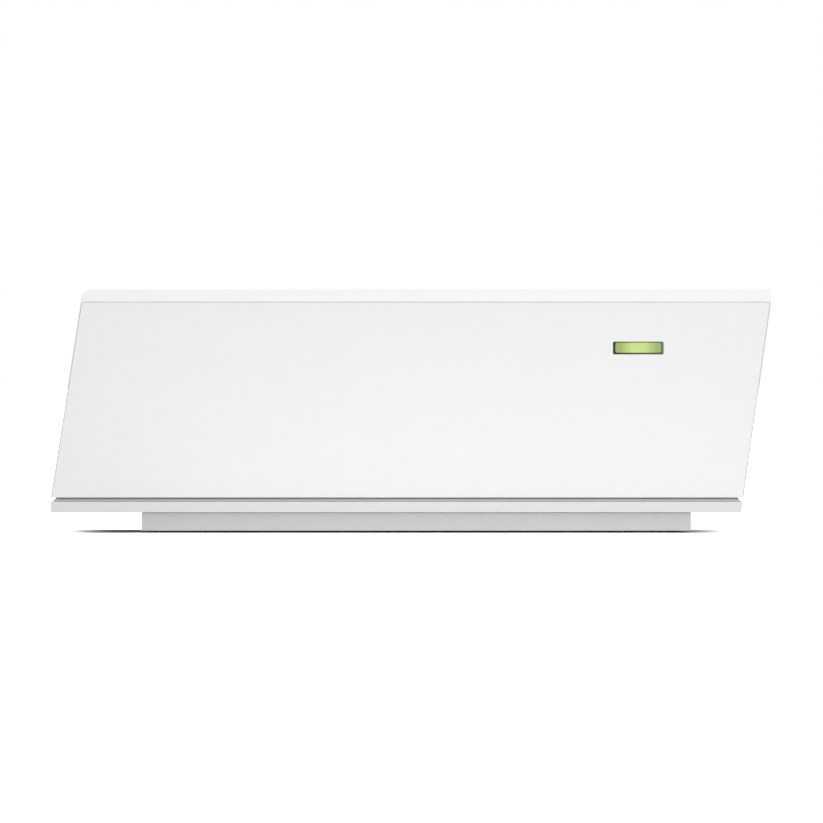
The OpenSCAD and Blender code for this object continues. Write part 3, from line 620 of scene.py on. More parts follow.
def paint_corner_shade(material, keep, width):
    """Paints shade down both front corners of the housing, which lean with its ends: a narrow
    strip of painted shade greys each corner edge. A point is on a strip when it lies within
    the width of an end's plane and close behind the front."""
    n = Nodes(material)
    low, high = corners("housing_body")
    foot_right = high[0] - (high[2] - low[2]) * (LEAN - DRAFT)
    marks = []
    for sign, slope, foot in ((1, LEAN + DRAFT, low[0]), (-1, LEAN - DRAFT, foot_right)):
        away = n.work("MULTIPLY_ADD", n.axis("Z"), -slope, n.axis("X"))
        edge = (foot - low[2] * slope) * MM
        marks.append(n.spread(away, 1, 0, edge + sign * width * 0.5 * MM,
                              edge + sign * width * 1.5 * MM))
    depth, fade = low[1] + 0.3, 0.1
    near = n.spread(n.axis("Y"), 1, 0, depth * MM, (depth + fade) * MM)
    both = n.work("MULTIPLY", n.work("MAXIMUM", *marks), near)
    # painted shade: the strips darken the housing's base colour
    tone = n.shader.inputs["Base Color"].links[0].from_socket
    n.to(n.scaled(tone, n.spread(both, 1, keep, 0, 1)), "Base Color")


def rubber(name, colour, rough=0.75, pores=3500):
    """Matt rubber or foam: fine pores and a dusty change of tone."""
    n = Nodes(name)
    n.to(n.ramp(n.noise(300, 4), [(0.35, shade(colour, 0.8)), (0.75, shade(colour, 1.35))]),
         "Base Color")
    n.to(n.spread(n.noise(1500), rough - 0.1, rough + 0.1), "Roughness")
    n.to(n.relief(n.noise(pores, 3), 0.02 * MM), "Normal")
    return n.material


def metal(name, colour, rough=0.3, brushed=(1, 1, 1), depth=0.004, round_spot=None):
    """Plated, brushed or turned metal: its streaks change tone, gloss and relief together."""
    n = Nodes(name)
    streak = n.noise(900, 3, 0.6, brushed) if round_spot is None else n.rings(round_spot, 4000)
    n.to(n.ramp(streak, [(0.3, shade(colour, 0.86)), (0.7, shade(colour, 1.06))]), "Base Color")
    n.to(n.spread(streak, rough - 0.08, rough + 0.1), "Roughness")
    n.to(n.relief(streak, depth * MM), "Normal")
    n.set(Metallic=1.0)
    return n.material


def epoxy(name, colour, rough=0.55):
    """Chip resin: a dense matt grain with faint paler flow marks."""
    n = Nodes(name)
    flow = n.noise(260, 4, 0.7, (1, 2.5, 1))
    n.to(n.ramp(flow, [(0.3, shade(colour, 0.8)), (0.75, shade(colour, 1.5))]), "Base Color")
    n.to(n.spread(flow, rough - 0.08, rough + 0.1), "Roughness")
    n.to(n.relief(n.noise(6000, 2), 0.006 * MM), "Normal")
    return n.material


def solder_mask(name, colour, tracks):
    """Circuit board: glossy mask whose tone and height change where buried tracks run in
    straight-edged cells."""
    n = Nodes(name)
    edge = n.cells(330, "CHEBYCHEV", (1, 1, 0))
    line = n.spread(n.work("PINGPONG", edge, 0.12), 0, 1, 0.055, 0.07)
    n.to(n.ramp(line, [(0.0, colour), (1.0, tracks)]), "Base Color")
    n.to(n.spread(n.noise(700, 2), 0.22, 0.34), "Roughness")
    n.to(n.relief(line, 0.015 * MM, n.relief(n.noise(2500, 2), 0.004 * MM)), "Normal")
    n.set(Coat_Weight=0.25, Coat_Roughness=0.15)
    return n.material


def paper(name, colour):
    """Pressed fibre of a loudspeaker's cone: matted strands over a soft mottling."""
    n = Nodes(name)
    strand = n.cells(2600, "EUCLIDEAN", (1, 0.35, 1))
    n.to(n.ramp(n.noise(1100, 4), [(0.3, shade(colour, 0.75)), (0.7, shade(colour, 1.3))]),
         "Base Color")
    n.to(n.spread(strand, 0.7, 0.9, 0, 0.6), "Roughness")
    n.to(n.relief(strand, 0.03 * MM), "Normal")
    return n.material


def enamel(name, colour):
    """Varnished winding wire: metal tone under a clear coat, darker in places."""
    n = Nodes(name)
    n.to(n.ramp(n.noise(500, 3), [(0.3, shade(colour, 0.75)), (0.7, shade(colour, 1.1))]),
         "Base Color")
    n.to(n.spread(n.noise(900), 0.25, 0.4), "Roughness")
    n.set(Metallic=0.85, Coat_Weight=0.6, Coat_Roughness=0.1)
    return n.material


def tinted(name, colour, glow=0.0, through=0.0):
    """Translucent plastic of a lamp or a light guide, with a faint ripple."""
    n = Nodes(name)
    cloud = n.noise(600, 2)
    tone = n.ramp(cloud, [(0.3, shade(colour, 0.9)), (0.7, shade(colour, 1.08))])
    n.to(tone, "Base Color")
    n.to(n.spread(cloud, 0.12, 0.24), "Roughness")
    n.to(n.relief(cloud, 0.01 * MM), "Normal")
    if glow:
        n.to(tone, "Emission Color")
        n.set(Emission_Strength=glow)
    n.set(Transmission_Weight=through, IOR=1.49)
    return n.material


LOOKS = {}


def look(name):
    return LOOKS[name]


# ------------------------------------------------------------------ settings


class ShellSettings(bpy.types.PropertyGroup):
    white: bpy.props.FloatVectorProperty(
        name="White", description="Colour of the moulded housing", subtype="COLOR", size=3, min=0,
        max=1,
        default=(0.665, 0.665, 0.665))
    edge: bpy.props.FloatProperty(
        name="Edge radius", description="Radius of the housing's moulded edges in millimetres",
        min=0.05, max=0.8,
        default=0.24)
    cover_slope: bpy.props.FloatProperty(
        name="Cover slope",
        description="Depth in millimetres by which the cover's front face slopes back", min=0,
        max=1,
        default=0.44)
    grain: bpy.props.FloatProperty(
        name="Grain", description="Size in millimetres of the fine grain on the plastic", min=0.05,
        max=1, default=0.22)


class WindowSettings(bpy.types.PropertyGroup):
    green: bpy.props.FloatVectorProperty(
        name="Lens colour", description="Colour of the light window", subtype="COLOR", size=3,
        min=0, max=1,
        default=(0.335, 0.43, 0.145))
    # Strength of the painted glow on the lens itself, which stands for the lamp behind it.
    glow: bpy.props.FloatProperty(
        name="Glow", description="Brightness of the lamp behind the middle of the window", min=0,
        max=2, default=0.3)


class InsideSettings(bpy.types.PropertyGroup):
    mask: bpy.props.FloatVectorProperty(
        name="Board colour", description="Colour of the circuit board's mask", subtype="COLOR",
        size=3, min=0, max=1,
        default=(0.012, 0.085, 0.035))
    terminal: bpy.props.FloatVectorProperty(
        name="Terminal colour", description="Colour of the door wire terminal", subtype="COLOR",
        size=3, min=0, max=1,
        default=(0.07, 0.26, 0.10))
    keys: bpy.props.FloatVectorProperty(
        name="Key colour", description="Colour of the terminal's release keys", subtype="COLOR",
        size=3, min=0, max=1,
        default=(0.80, 0.25, 0.03))


class StageSettings(bpy.types.PropertyGroup):
    sky: bpy.props.FloatProperty(
        name="Surroundings", description="Brightness of the white surroundings", min=0, max=4,
        default=1.0)
    top: bpy.props.FloatProperty(
        name="Top light", description="Strength of the soft light from above", min=0, max=10,
        default=0.6)
    front: bpy.props.FloatProperty(
        name="Front light",
        description="Power in watts of the large soft light at the front right", min=0, max=10,
        default=0.72)
    wash: bpy.props.FloatProperty(
        name="Floor wash", description="Strength of the low lights that reach only the floor",
        min=0, max=20, default=4.5)
    card: bpy.props.FloatProperty(
        name="Low card", description="Power in watts of the low light in front of the object",
        min=0, max=1,
        default=0.014)
    lens: bpy.props.FloatProperty(
        name="Lens", description="Focal length in millimetres", min=50, max=1740, default=1700)
    rise: bpy.props.FloatProperty(
        name="Rise", description="Angle of the camera above the level, in degrees", min=0, max=30,
        default=0.17)


# ------------------------------------------------------------------ operators


class DOORBELL_OT_stage(bpy.types.Operator):
    """Makes the camera, the pale floor, the white surroundings and the lights"""

    bl_idname = "doorbell.stage"
    bl_label = "Stage"

    def execute(self, context):
        s = context.scene.doorbell_stage
        scene = context.scene
        scene.view_settings.view_transform = "Standard"
        world = bpy.data.worlds.new("Surroundings")
        scene.world = world
        world.use_nodes = True
        world.node_tree.nodes["Background"].inputs["Color"].default_value = (1, 1, 1, 1)
        world.node_tree.nodes["Background"].inputs["Strength"].default_value = s.sky
        self.floor()
        self.sun("Top light", s.top, 50, (0.05, -0.03, 1))
        front_y = CAD_BOX[0].y
        self.panel("Front light", s.front, (0.5, 0.5), (0.42, -0.55, 0.15))
        self.panel("Low card", s.card, (0.14, 0.01), (0.012, front_y - 0.05, 0.001), (0, -1, 0))
        for side in (-1, 1):
            self.wash(s.wash, side)
        data = bpy.data.cameras.new("Camera")
        camera = bpy.data.objects.new("Camera", data)
        scene.collection.objects.link(camera)
        scene.camera = camera
        data.sensor_width = 36
        data.lens = s.lens
        away = VIEW_WIDTH * s.lens / data.sensor_width
        rise = math.radians(s.rise)
        target = np.array([VIEW_X, front_y, VIEW_Z])
        camera.location = target + away * np.array([0, -math.cos(rise), math.sin(rise)])
        camera.rotation_euler = (math.pi / 2 - rise, 0, 0)
        data.clip_start, data.clip_end = 0.1, 60
        return {"FINISHED"}

    def floor(self):
        n = Nodes("Floor")
        n.set(Roughness=1.0, Specular_IOR_Level=0.0)
        n.shader.inputs["Base Color"].default_value = (0.93, 0.93, 0.93, 1)
        mesh = bpy.data.meshes.new("Floor")
        mesh.from_pydata([(-12, -12, 0), (12, -12, 0), (12, 12, 0), (-12, 12, 0)], [],
                         [(0, 1, 2, 3)])
        mesh.materials.append(n.material)
        floor = bpy.data.objects.new("Floor", mesh)
        bpy.context.scene.collection.objects.link(floor)

    def sun(self, name, strength, angle, towards):
        data = bpy.data.lights.new(name, "SUN")
        data.energy = strength
        data.angle = math.radians(angle)
        lamp = bpy.data.objects.new(name, data)
        lamp.rotation_euler = Vector(towards).to_track_quat("Z", "Y").to_euler()
        bpy.context.scene.collection.objects.link(lamp)
        return lamp

    def panel(self, name, power, size, spot, towards=None):
        """Flat soft light at a spot, facing the object or the given way; the camera does not
        see it."""
        data = bpy.data.lights.new(name, "AREA")
        data.shape = "RECTANGLE"
        data.size, data.size_y = size
        data.energy = power
        lamp = bpy.data.objects.new(name, data)
        lamp.location = spot
        lamp.rotation_euler = Vector(towards or spot).to_track_quat("Z", "Y").to_euler()
        lamp.visible_camera = False
        bpy.context.scene.collection.objects.link(lamp)

    def wash(self, strength, side):
        """Low soft light from one side that reaches only the floor, so the shadow ends short
        under the tray."""
        lamp = self.sun("Floor wash", strength, 30, (side, -0.1, 0.66))
        lamp.data.cycles.max_bounces = 0
        group = bpy.data.collections.get("Floor only") or bpy.data.collections.new("Floor only")
        if not group.objects:
            group.objects.link(bpy.data.objects["Floor"])
        lamp.light_linking.receiver_collection = group


class DOORBELL_OT_looks(bpy.types.Operator):
    """Makes the materials"""

    bl_idname = "doorbell.looks"
    bl_label = "Materials"

    def execute(self, context):
        shell, inside = context.scene.doorbell_shell, context.scene.doorbell_inside
        white = tuple(shell.white)
        cell = middle("clock_battery")
        LOOKS.update({
            # The housing below the groove's top and the tray above the groove's floor carry a
            # painted shade in the groove between them.
            "shell": moulded("Housing white", white, 0.45, shell.grain, 0.005, 0.004,
                             (0, 7.04, 0.62)),
            # painted light: the cover is the housing white painted lighter, for its sloping front
            # edge catching the top light
            "cover": moulded("Cover white", shade(white, 1.08), 0.45, shell.grain, 0.005, 0.004),
            # painted shade: the tray is the housing white painted darker
            "tray": moulded("Tray white", shade(white, 0.87), 0.5, shell.grain, 0.005, 0.004,
                            (6.28, 9, 0.75)),
            # painted shade: the bracket is the housing white painted darker, for the shade under
            # the tray
            "bracket": moulded("Bracket white", shade(white, 0.91), 0.55, shell.grain, 0.005,
                               0.004),
            "pads": rubber("Pad rubber", (0.045, 0.045, 0.05)),
            "screws": metal("Zinc plated steel", (0.6, 0.61, 0.63), 0.3),
            "guide": tinted("Light guide", (0.86, 0.93, 0.86), 0.0, 0.85),
            "black": moulded("Black plastic", (0.018, 0.018, 0.02), 0.45, 0.15, 0.008, 0.1),
            "lamp": tinted("Lamp phosphor", (0.85, 0.8, 0.25), 0.15),
            "ceramic": moulded("White ceramic", (0.7, 0.69, 0.66), 0.35, 0.3),
            "board": solder_mask("Board mask", tuple(inside.mask), shade(tuple(inside.mask), 2.1)),
            "board_blue": solder_mask("Radio board mask", (0.008, 0.035, 0.16),
                                      (0.02, 0.085, 0.34)),
            "board_tan": solder_mask("Antenna board", (0.02, 0.075, 0.03), (0.025, 0.10, 0.04)),
            "track": moulded("Masked copper", shade(tuple(inside.mask), 2.6), 0.25, 0.3, 0.003),
            "ink": moulded("Board ink", (0.75, 0.75, 0.72), 0.6, 0.1, 0.003),
            "tin": metal("Tinned pads", (0.66, 0.66, 0.65), 0.3, (1, 1, 1), 0.008),
            "gold": metal("Gilt contacts", (0.85, 0.58, 0.22), 0.22),
            "chip": epoxy("Chip resin", (0.02, 0.02, 0.022)),
            "mark": moulded("Chip mark", (0.06, 0.06, 0.065), 0.3, 0.3, 0.002),
            "base": moulded("Chip base", (0.02, 0.07, 0.03), 0.4, 0.3, 0.003),
            "thermal": rubber("Thermal pad", (0.22, 0.32, 0.42), 0.8, 2500),
            "alloy": metal("Black anodised alloy", (0.16, 0.165, 0.175), 0.42, (1, 0.03, 1),
                           0.006),
            "can": metal("Tinned steel sheet", (0.68, 0.68, 0.67), 0.27, (0.15, 1, 1), 0.003),
            "cell": metal("Turned steel", (0.72, 0.71, 0.69), 0.26, round_spot=cell),
            "sleeve": moulded("Capacitor sleeve", (0.012, 0.016, 0.04), 0.28, 0.6, 0.004, 0.1),
            "stripe": moulded("Sleeve stripe", (0.48, 0.5, 0.52), 0.32, 0.6, 0.004),
            "alu": metal("Capacitor can", (0.75, 0.75, 0.76), 0.34),
            "ferrite": epoxy("Ferrite", (0.045, 0.046, 0.05), 0.5),
            "copper": enamel("Winding wire", (0.72, 0.27, 0.09)),
            "terminal": moulded("Terminal green", tuple(inside.terminal), 0.42, 0.2, 0.006, 0.05),
            "key": moulded("Key orange", tuple(inside.keys), 0.4, 0.2, 0.005, 0.05),
            "relay": moulded("Relay blue", (0.02, 0.075, 0.26), 0.36, 0.25, 0.005, 0.06),
            "button": moulded("Button white", shade(white, 0.97), 0.35, 0.2, 0.003),
            "wheel": moulded("Wheel grey", (0.38, 0.385, 0.39), 0.42, 0.15, 0.006, 0.04),
            "magnet": metal("Zinc plated magnet", (0.5, 0.51, 0.54), 0.32),
            "basket": metal("Pressed steel", (0.42, 0.43, 0.45), 0.36),
            "cone": paper("Cone paper", (0.035, 0.034, 0.036)),
            "cloth": rubber("Surround cloth", (0.02, 0.02, 0.022), 0.6, 5000),
            "foam": rubber("Foam gasket", (0.03, 0.03, 0.032), 0.9, 1800),
            "lead": moulded("Black lead", (0.018, 0.018, 0.02), 0.35, 0.6, 0.004, 0.1),
            "lead_red": moulded("Red lead", (0.42, 0.02, 0.02), 0.35, 0.6, 0.004, 0.1),
            "cream": moulded("Cream connector", (0.68, 0.62, 0.47), 0.45, 0.3, 0.004, 0.04),
            "green_lamp": tinted("Green lamp", (0.25, 0.62, 0.12), 0.25),
            "amber_lamp": tinted("Amber lamp", (0.75, 0.42, 0.06), 0.12),
            "brown": epoxy("Capacitor ceramic", (0.32, 0.22, 0.13), 0.5),
            "grey_ink": moulded("Panel ink", (0.25, 0.26, 0.27), 0.5, 0.2, 0.003),
        })
        # painted shade: grey strips down the housing's front corners
        paint_corner_shade(look("shell"), 0.62, 0.2)
        return {"FINISHED"}


class DOORBELL_OT_shells(bpy.types.Operator):
    """Rounds the edges of the housing's walls, tray and bracket and makes the rear panel with
    its marks"""

    bl_idname = "doorbell.shells"
    bl_label = "Housing"

    def execute(self, context):
        edge = context.scene.doorbell_shell.edge
        soften("housing_body", edge, look("shell"))
        soften("base_tray", edge * 0.8, look("tray"))
        self.rear(edge * 0.5)
        soften("wall_bracket", edge * 0.7, look("bracket"))
        self.panel_marks()
        return {"FINISHED"}

    def rear(self, edge):
        """The panel with the openings of its frame node: sockets, button, reset hole, wheel,
        chime and air slots."""
        low, high = corners("rear_panel")
        foot_right = high[0] - (high[2] - low[2]) * (LEAN - DRAFT)

        def outer(i):
            tall = np.array([low[2] + i, low[2] + i, high[2] - i, high[2] - i])
            left = low[0] + (tall - low[2]) * (LEAN + DRAFT) + i
            right = foot_right + (tall - low[2]) * (LEAN - DRAFT) - i
            return np.stack([np.where([1, 0, 0, 1], left, right), tall], 1)

        holes = []
        gap, socket_corner = 0.3, 0.4
        for node in ("network_socket", "power_socket", "door_terminal"):
            a, b = corners(node)
            holes.append(((a[0] + b[0]) / 2, (a[2] + b[2]) / 2, (b[0] - a[0]) / 2 + gap,
                          (b[2] - a[2]) / 2 + gap,
                          socket_corner))
        for node, r in (("pair_button", 3.45), ("reset_plunger", 0.9)):
            c = middle(node)
            holes.append((c[0], c[2], r, r, r))
        wheel = corners("volume_wheel")
        wheel_x = (wheel[0][0] + wheel[1][0]) / 2
        holes.append((wheel_x, wheel[1][2] - SLOT_DROP, SLOT_HALF_X, SLOT_HALF_Z, 0.5))
        chime = middle("speaker_gasket")
        rim, slot_step, slot_r = 3.2, 3.1, 0.75
        reach = (corners("speaker_gasket")[1][0] - chime[0]) - rim
        for k in range(-3, 4):
            half = math.sqrt(reach**2 - (slot_step * k) ** 2) - 0.7
            holes.append((chime[0] + slot_step * k, chime[2], slot_r, half, slot_r))
        air_z = corners("housing_body")[1][2] - 7.5
        air_step, air_half, air_r = 5, 3.5, 0.8
        holes += [(wheel_x - 3.2 + air_step * k, air_z, air_r, air_half, air_r) for k in range(16)]
        piece("rear_wall", (plate(outer, holes, low[1], high[1], edge), look("shell")), "housing",
              ["rear_panel"])

    def panel_marks(self):
        """Printed marks on the rear panel: a wedge that grows along the wheel, and one to four
        dots for the poles."""
        y = corners("rear_panel")[1][1]
        wheel, terminal = middle("volume_wheel"), corners("door_terminal")
        wedge = [[-5.5, 0], [5.5, 0], [5.5, 1.5], [-5.5, 0.25]]
        z = corners("volume_wheel")[1][2] - SLOT_DROP + SLOT_HALF_Z + 0.7
        outline = np.array([[wheel[0] + u, z + v] for u, v in wedge])
        loops = [np.column_stack([outline[:, 0], np.full(4, y + d),
                                  outline[:, 1]]) for d in (-0.02, 0.03)]
        keys = [middle("release_key_%d" % k) for k in (1, 2, 3, 4)]
        dot = [(0, 0.03), (0.26, 0.03), (0.3, 0.015), (0.3, -0.02)]
        dots = [turned(dot, (k[0] + (j - n / 2) * 0.85, y, terminal[1][2] + 1.3), "y", 16)
                for n, k in enumerate(keys) for j in range(n + 1)]
        loop = [(0.95 + w, h) for w, h in ((0.25, -0.02), (0.25, 0.03), (0.55, 0.03),
                                           (0.55, -0.02))]
        reset = middle("reset_plunger")
        ringed = turned(loop, (reset[0], y, reset[2]), "y", 40)
        piece("panel_marks", (joined(stacked(loops), ringed, *dots), look("grey_ink")), "housing")


def cover_outline(low, high, lean_left, round_r):
    """Front-view outline of the cover as points (x, z): level underside, right side leaning in
    a little, level top, a quarter-round left edge and the leaning left side."""
    z0, z1 = low[2], high[2]
    left, right = low[0], high[0]
    turn = math.pi / 2 - lean_left
    side = left + (z1 - z0) * math.tan(lean_left)
    centre = np.array([side + round_r * math.tan(turn / 2), z1 - round_r])
    angle = math.pi / 2 + np.linspace(0, turn, 15)
    arc = centre + round_r * np.stack([np.cos(angle), np.sin(angle)], 1)
    under = np.stack([np.linspace(left, right, 60), np.full(60, z0)], 1)
    rise = np.linspace(0, 1, 14)[1:]
    up = np.stack([right - 0.25 * rise, z0 + (z1 - z0) * rise], 1)
    over = np.stack([np.linspace(right - 0.25, arc[0, 0], 60), np.full(60, z1)], 1)[1:]
    down = arc[-1] + (np.array([left, z0]) - arc[-1]) * np.linspace(0, 1, 6)[1:-1, None]
    return np.vstack([under, up, over, arc[1:], down])


class DOORBELL_OT_cover(bpy.types.Operator):
    """Makes the top cover: a plate held inside its front, side and plan outlines, with a
    sloping front edge"""

    bl_idname = "doorbell.cover"
    bl_label = "Top cover"

    def execute(self, context):
        shell = context.scene.doorbell_shell
        low, high = corners("top_cover")
        body_low, body_high = corners("housing_body")
        seam = 0.1
        base = low.copy()
        base[2] = body_high[2] + seam
        base[0] = body_low[0] + (base[2] - body_low[2]) * (LEAN + DRAFT)
        lean = math.atan(LEAN + DRAFT)
        skin = self.slab(cover_outline(base, high, lean, 2.0), base, high, shell.cover_slope, lean)
        lip = soft_boxes([base[0] + 0.5, low[1] + 0.12, body_high[2] + 0.012],
                         [high[0] - 0.5, low[1] + 0.6, base[2] + 0.1], 0.02)
        piece("cover_plate", (joined(skin, lip), look("cover")), "cover", ["top_cover"])
        self.tongues(low[2], base[2])
        return {"FINISHED"}

    def slab(self, outline, low, high, slope, lean):
        """The outline is carried from front to rear. At each depth it is cut off above and
        below by the side-view outline, and at both ends by the rounded corners of the plan."""
        z0, z1 = low[2], high[2]
        tall = z1 - z0
        depth = np.array([0, 0.04, 0.12, 0.2, 0.3, 0.44, 0.5, 0.58, 0.7, 0.85])
        depth[1:6] *= slope / 0.44
        roof = np.interp(depth, [0, slope, slope + 0.06, slope + 0.15, slope + 0.3],
                         z0 + np.array([0.28, tall - 0.27, tall - 0.13, tall - 0.03, tall]))
        sole = z0 + np.interp(depth, [0, 0.04, 0.12], [0.12, 0.04, 0])
        corner = 0.5
        inset = np.where(depth < corner,
                         corner - np.sqrt(np.maximum(corner**2 - (corner - depth) ** 2, 0)), 0)
        mid = np.linspace(low[1] + 2, high[1] - 2, 24)
        y = np.concatenate([low[1] + depth, mid, high[1] - depth[::-1]])
        roof = np.concatenate([roof, np.full(len(mid), z1), roof[::-1]])
        sole = np.concatenate([sole, np.full(len(mid), z0), sole[::-1]])
        inset = np.concatenate([inset, np.zeros(len(mid)), inset[::-1]])
        z = np.clip(outline[None, :, 1], sole[:, None], roof[:, None])
        left = low[0] + (z - z0) * math.tan(lean) + inset[:, None]
        x = np.clip(outline[None, :, 0], left, high[0] - inset[:, None])
        return stacked(np.stack([x, np.repeat(y[:, None], outline.shape[0], 1), z], -1))

    def tongues(self, z, z0):
        """Four upright strips under the plate, with round edges, where the frame's own tongues
        are."""
        body_low, body_high = corners("housing_body")
        reach, wall = 2.6, 2.2
        t, top = 1.4, z0 + 0.3
        x0 = body_low[0] + (body_high[2] - body_low[2]) * (LEAN + DRAFT) + wall
        x1 = body_high[0] - reach * (LEAN - DRAFT) - wall
        y0, y1 = -53.8, 52.8
        half_side, half_front = 40, 52
        a = [[x0, -half_side, z], [x1 - t, -half_side, z], [-half_front, y0, z],
             [-half_front, y1 - t, z]]
        b = [[x0 + t, half_side, top], [x1, half_side, top], [half_front, y0 + t, top],
             [half_front, y1, top]]
        piece("cover_tongues", (soft_boxes(a, b, 0.25), look("shell")), "cover")


class DOORBELL_OT_pads(bpy.types.Operator):
    """Makes the four rubber pads with a rounded rim and two shallow rings in the sole"""

    bl_idname = "doorbell.pads"
    bl_label = "Rubber pads"

    def execute(self, context):
        low, high = corners("foot_pads")
        r, top = 5.5, high[2]
        turn = np.linspace(0, math.pi / 2, 6)
        rim = np.stack([r - 0.3 + 0.3 * np.sin(turn), 0.3 - 0.3 * np.cos(turn)], 1)
        rings = [[0, 0], [1.2, 0], [1.4, 0.18], [2, 0.18], [2.2, 0], [3.2, 0], [3.4, 0.18],
                 [4, 0.18], [4.2, 0]]
        profile = np.vstack([rings, rim, [[r, top - 0.1], [r - 0.1, top], [0, top]]])
        spots = [(x, y) for x in (low[0] + r, high[0] - r) for y in (low[1] + r, high[1] - r)]
        skin = joined(*[turned(profile, (x, y, 0)) for x, y in spots])
        piece("rubber_pads", (skin, look("pads")), "bracket", ["foot_pads"])
        return {"FINISHED"}


class DOORBELL_OT_screws(bpy.types.Operator):
    """Makes the case screws under the tray and the board screws, with cross recesses and
    threads"""

    bl_idname = "doorbell.screws"
    bl_label = "Screws"

    def execute(self, context):
        low, high = corners("case_screws")
        r, head, shank_r = 2.7, 1.8, 1.2
        spots = [(x, y, low[2] + head) for x in (low[0] + r, high[0] - r) for y in (low[1] + r,
                high[1] - r)]
        skin = joined(*[screw(s, r, head, shank_r, high[2] - s[2], "-z") for s in spots])
        piece("case_screw_set", (skin, look("screws")), "housing", ["case_screws"])
        low, high = corners("board_screws")
        spots = [(x, y, high[2] - head) for x in (low[0] + r, high[0] - r) for y in (low[1] + r,
                high[1] - r)]
        skin = joined(*[screw(s, r, 1.75, shank_r, s[2] - low[2]) for s in spots])
        piece("board_screw_set", (skin, look("screws")), "housing", ["board_screws"])
        return {"FINISHED"}


class DOORBELL_OT_window(bpy.types.Operator):
    """Makes the light window: a lens with round corners and a domed face, and the dark frame
    around it"""

    bl_idname = "doorbell.window"
    bl_label = "Light window"

    def execute(self, context):
        s = context.scene.doorbell_window
        low, high = corners("light_lens")
        frame_low, frame_high = corners("light_frame")
        cx, cz = (frame_low[0] + frame_high[0]) / 2, (frame_low[2] + frame_high[2]) / 2
        lens = self.lens_look(tuple(s.green), s.glow, cx * MM)
        dark = self.frame_look(cx * MM)
        wide, tall, lift = 9.3, 2.08, 0.07
        skin = self.lens(cx, cz + lift, wide, tall, low[1], high[1])
        piece("window_lens", (skin, lens), "housing", ["light_lens"])
        soften("light_frame", 0.05, dark)
        return {"FINISHED"}

    def lens(self, cx, cz, w, h, y0, y1):
        """Round-cornered rectangles that shrink towards the front as a quarter round, over a
        wider flange behind the wall."""
        a, b, r, cut = w / 2, h / 2, 0.35, 0.22
        dome = np.linspace(0, math.pi / 2, 6)
        less = cut * (1 - np.sin(dome))
        rows = [(a - cut * 2.2, b - cut * 2.2, 0.08, y0 - 0.02)]
        rows += [(a - i, b - i, max(r - i, 0.1), y0 + cut * (1 - math.cos(t))) for i,
                 t in zip(less, dome)]
        back, flange, bevel = y0 + 2.0, 0.8, 0.05
        rows += [(a, b, r, back), (a + flange, b + flange, 0.5, back + bevel),
                 (a + flange, b + flange, 0.5, back + 0.8),
                 (a, b, r, back + 0.85), (a, b, r, y1)]
        return tower((cx, 0, cz), rows, "y")

    def lens_look(self, colour, glow, cx):
        """Tinted clear plastic with painted light: a painted glow and a painted bright patch in
        the lens's colour stand for the lamp behind it, and fade towards both ends."""
        n = Nodes("Window lens")
        half_width = 4.7
        away = n.work("ABSOLUTE", n.work("SUBTRACT", n.axis("X"), cx))
        part = n.spread(away, 0, 1, 0, half_width * MM)
        # painted light: the lens's colour is brightest in the middle and painted darker towards
        # the ends
        tone = n.ramp(part, [(0.0, shade(colour, 1.1)), (0.3, shade(colour, 1.08)),
                             (0.75, shade(colour, 0.78)), (0.93, shade(colour, 0.74)),
                             (1.0, shade(colour, 0.45))])
        n.to(tone, "Base Color")
        n.to(tone, "Emission Color")
        # painted glow: emission on the lens itself, strongest in the middle
        painted_glow_share = n.ramp(part, [(0.0, (1, 1, 1)), (0.25, (0.95,) * 3), (0.8, (0.22,) * 3),
                               (1.0, (0.08,) * 3)])
        n.to(n.work("MULTIPLY", painted_glow_share, glow), "Emission Strength")
        n.to(n.spread(n.noise(1200), 0.18, 0.26), "Roughness")
        n.to(n.relief(n.noise(700, 2), 0.006 * MM), "Normal")
        return n.material

    def frame_look(self, cx):
        """Dark plastic around the lens with painted shade at its left end and a painted green
        spill of the lamp's light that grows towards its right end.
        """
        n = Nodes("Window frame")
        half_width = 5.1
        part = n.spread(n.axis("X"), 0, 1, cx - half_width * MM, cx + half_width * MM)
        # painted light and shade: dark at the left end, painted greener towards the right
        n.to(n.ramp(part, [(0.0, (0.02, 0.035, 0.015)), (0.5, (0.16, 0.2, 0.08)),
                           (1.0, (0.2, 0.26, 0.12))]),
             "Base Color")
        n.to(n.spread(n.noise(2500), 0.45, 0.6), "Roughness")
        n.to(n.relief(n.noise(4000, 2), 0.008 * MM), "Normal")
        return n.material


class DOORBELL_OT_guide(bpy.types.Operator):
    """Makes the light guide, its chimney and the three lamps on the board"""

    bl_idname = "doorbell.guide"
    bl_label = "Light guide"

    def execute(self, context):
        soften("light_guide", 0.12, look("guide"))
        soften("light_holder", 0.15, look("black"))
        low, high = corners("status_leds")
        y = (low[1] + high[1]) / 2
        base, dome, ends = [], [], []
        for x in np.linspace(low[0] + 1, high[0] - 1, 3):
            base.append(pillow((x, y, low[2]), (1.7, 1.25, 0.55), 0.1, 0.05))
            dome.append(pillow((x, y, low[2] + 0.5), (1.35, 1.0, 0.4), 0.45, 0.3))
            ends += [((x + s * 0.88, y, low[2]), (0.24, 1.2, 0.4)) for s in (-1, 1)]
        feet = joined(*[pillow(spot, size, 0.05, 0.04) for spot, size in ends])
        piece("lamps", [(joined(*base), look("ceramic")), (joined(*dome), look("lamp")),
                        (feet, look("tin"))],
              "housing", ["status_leds"])
        return {"FINISHED"}


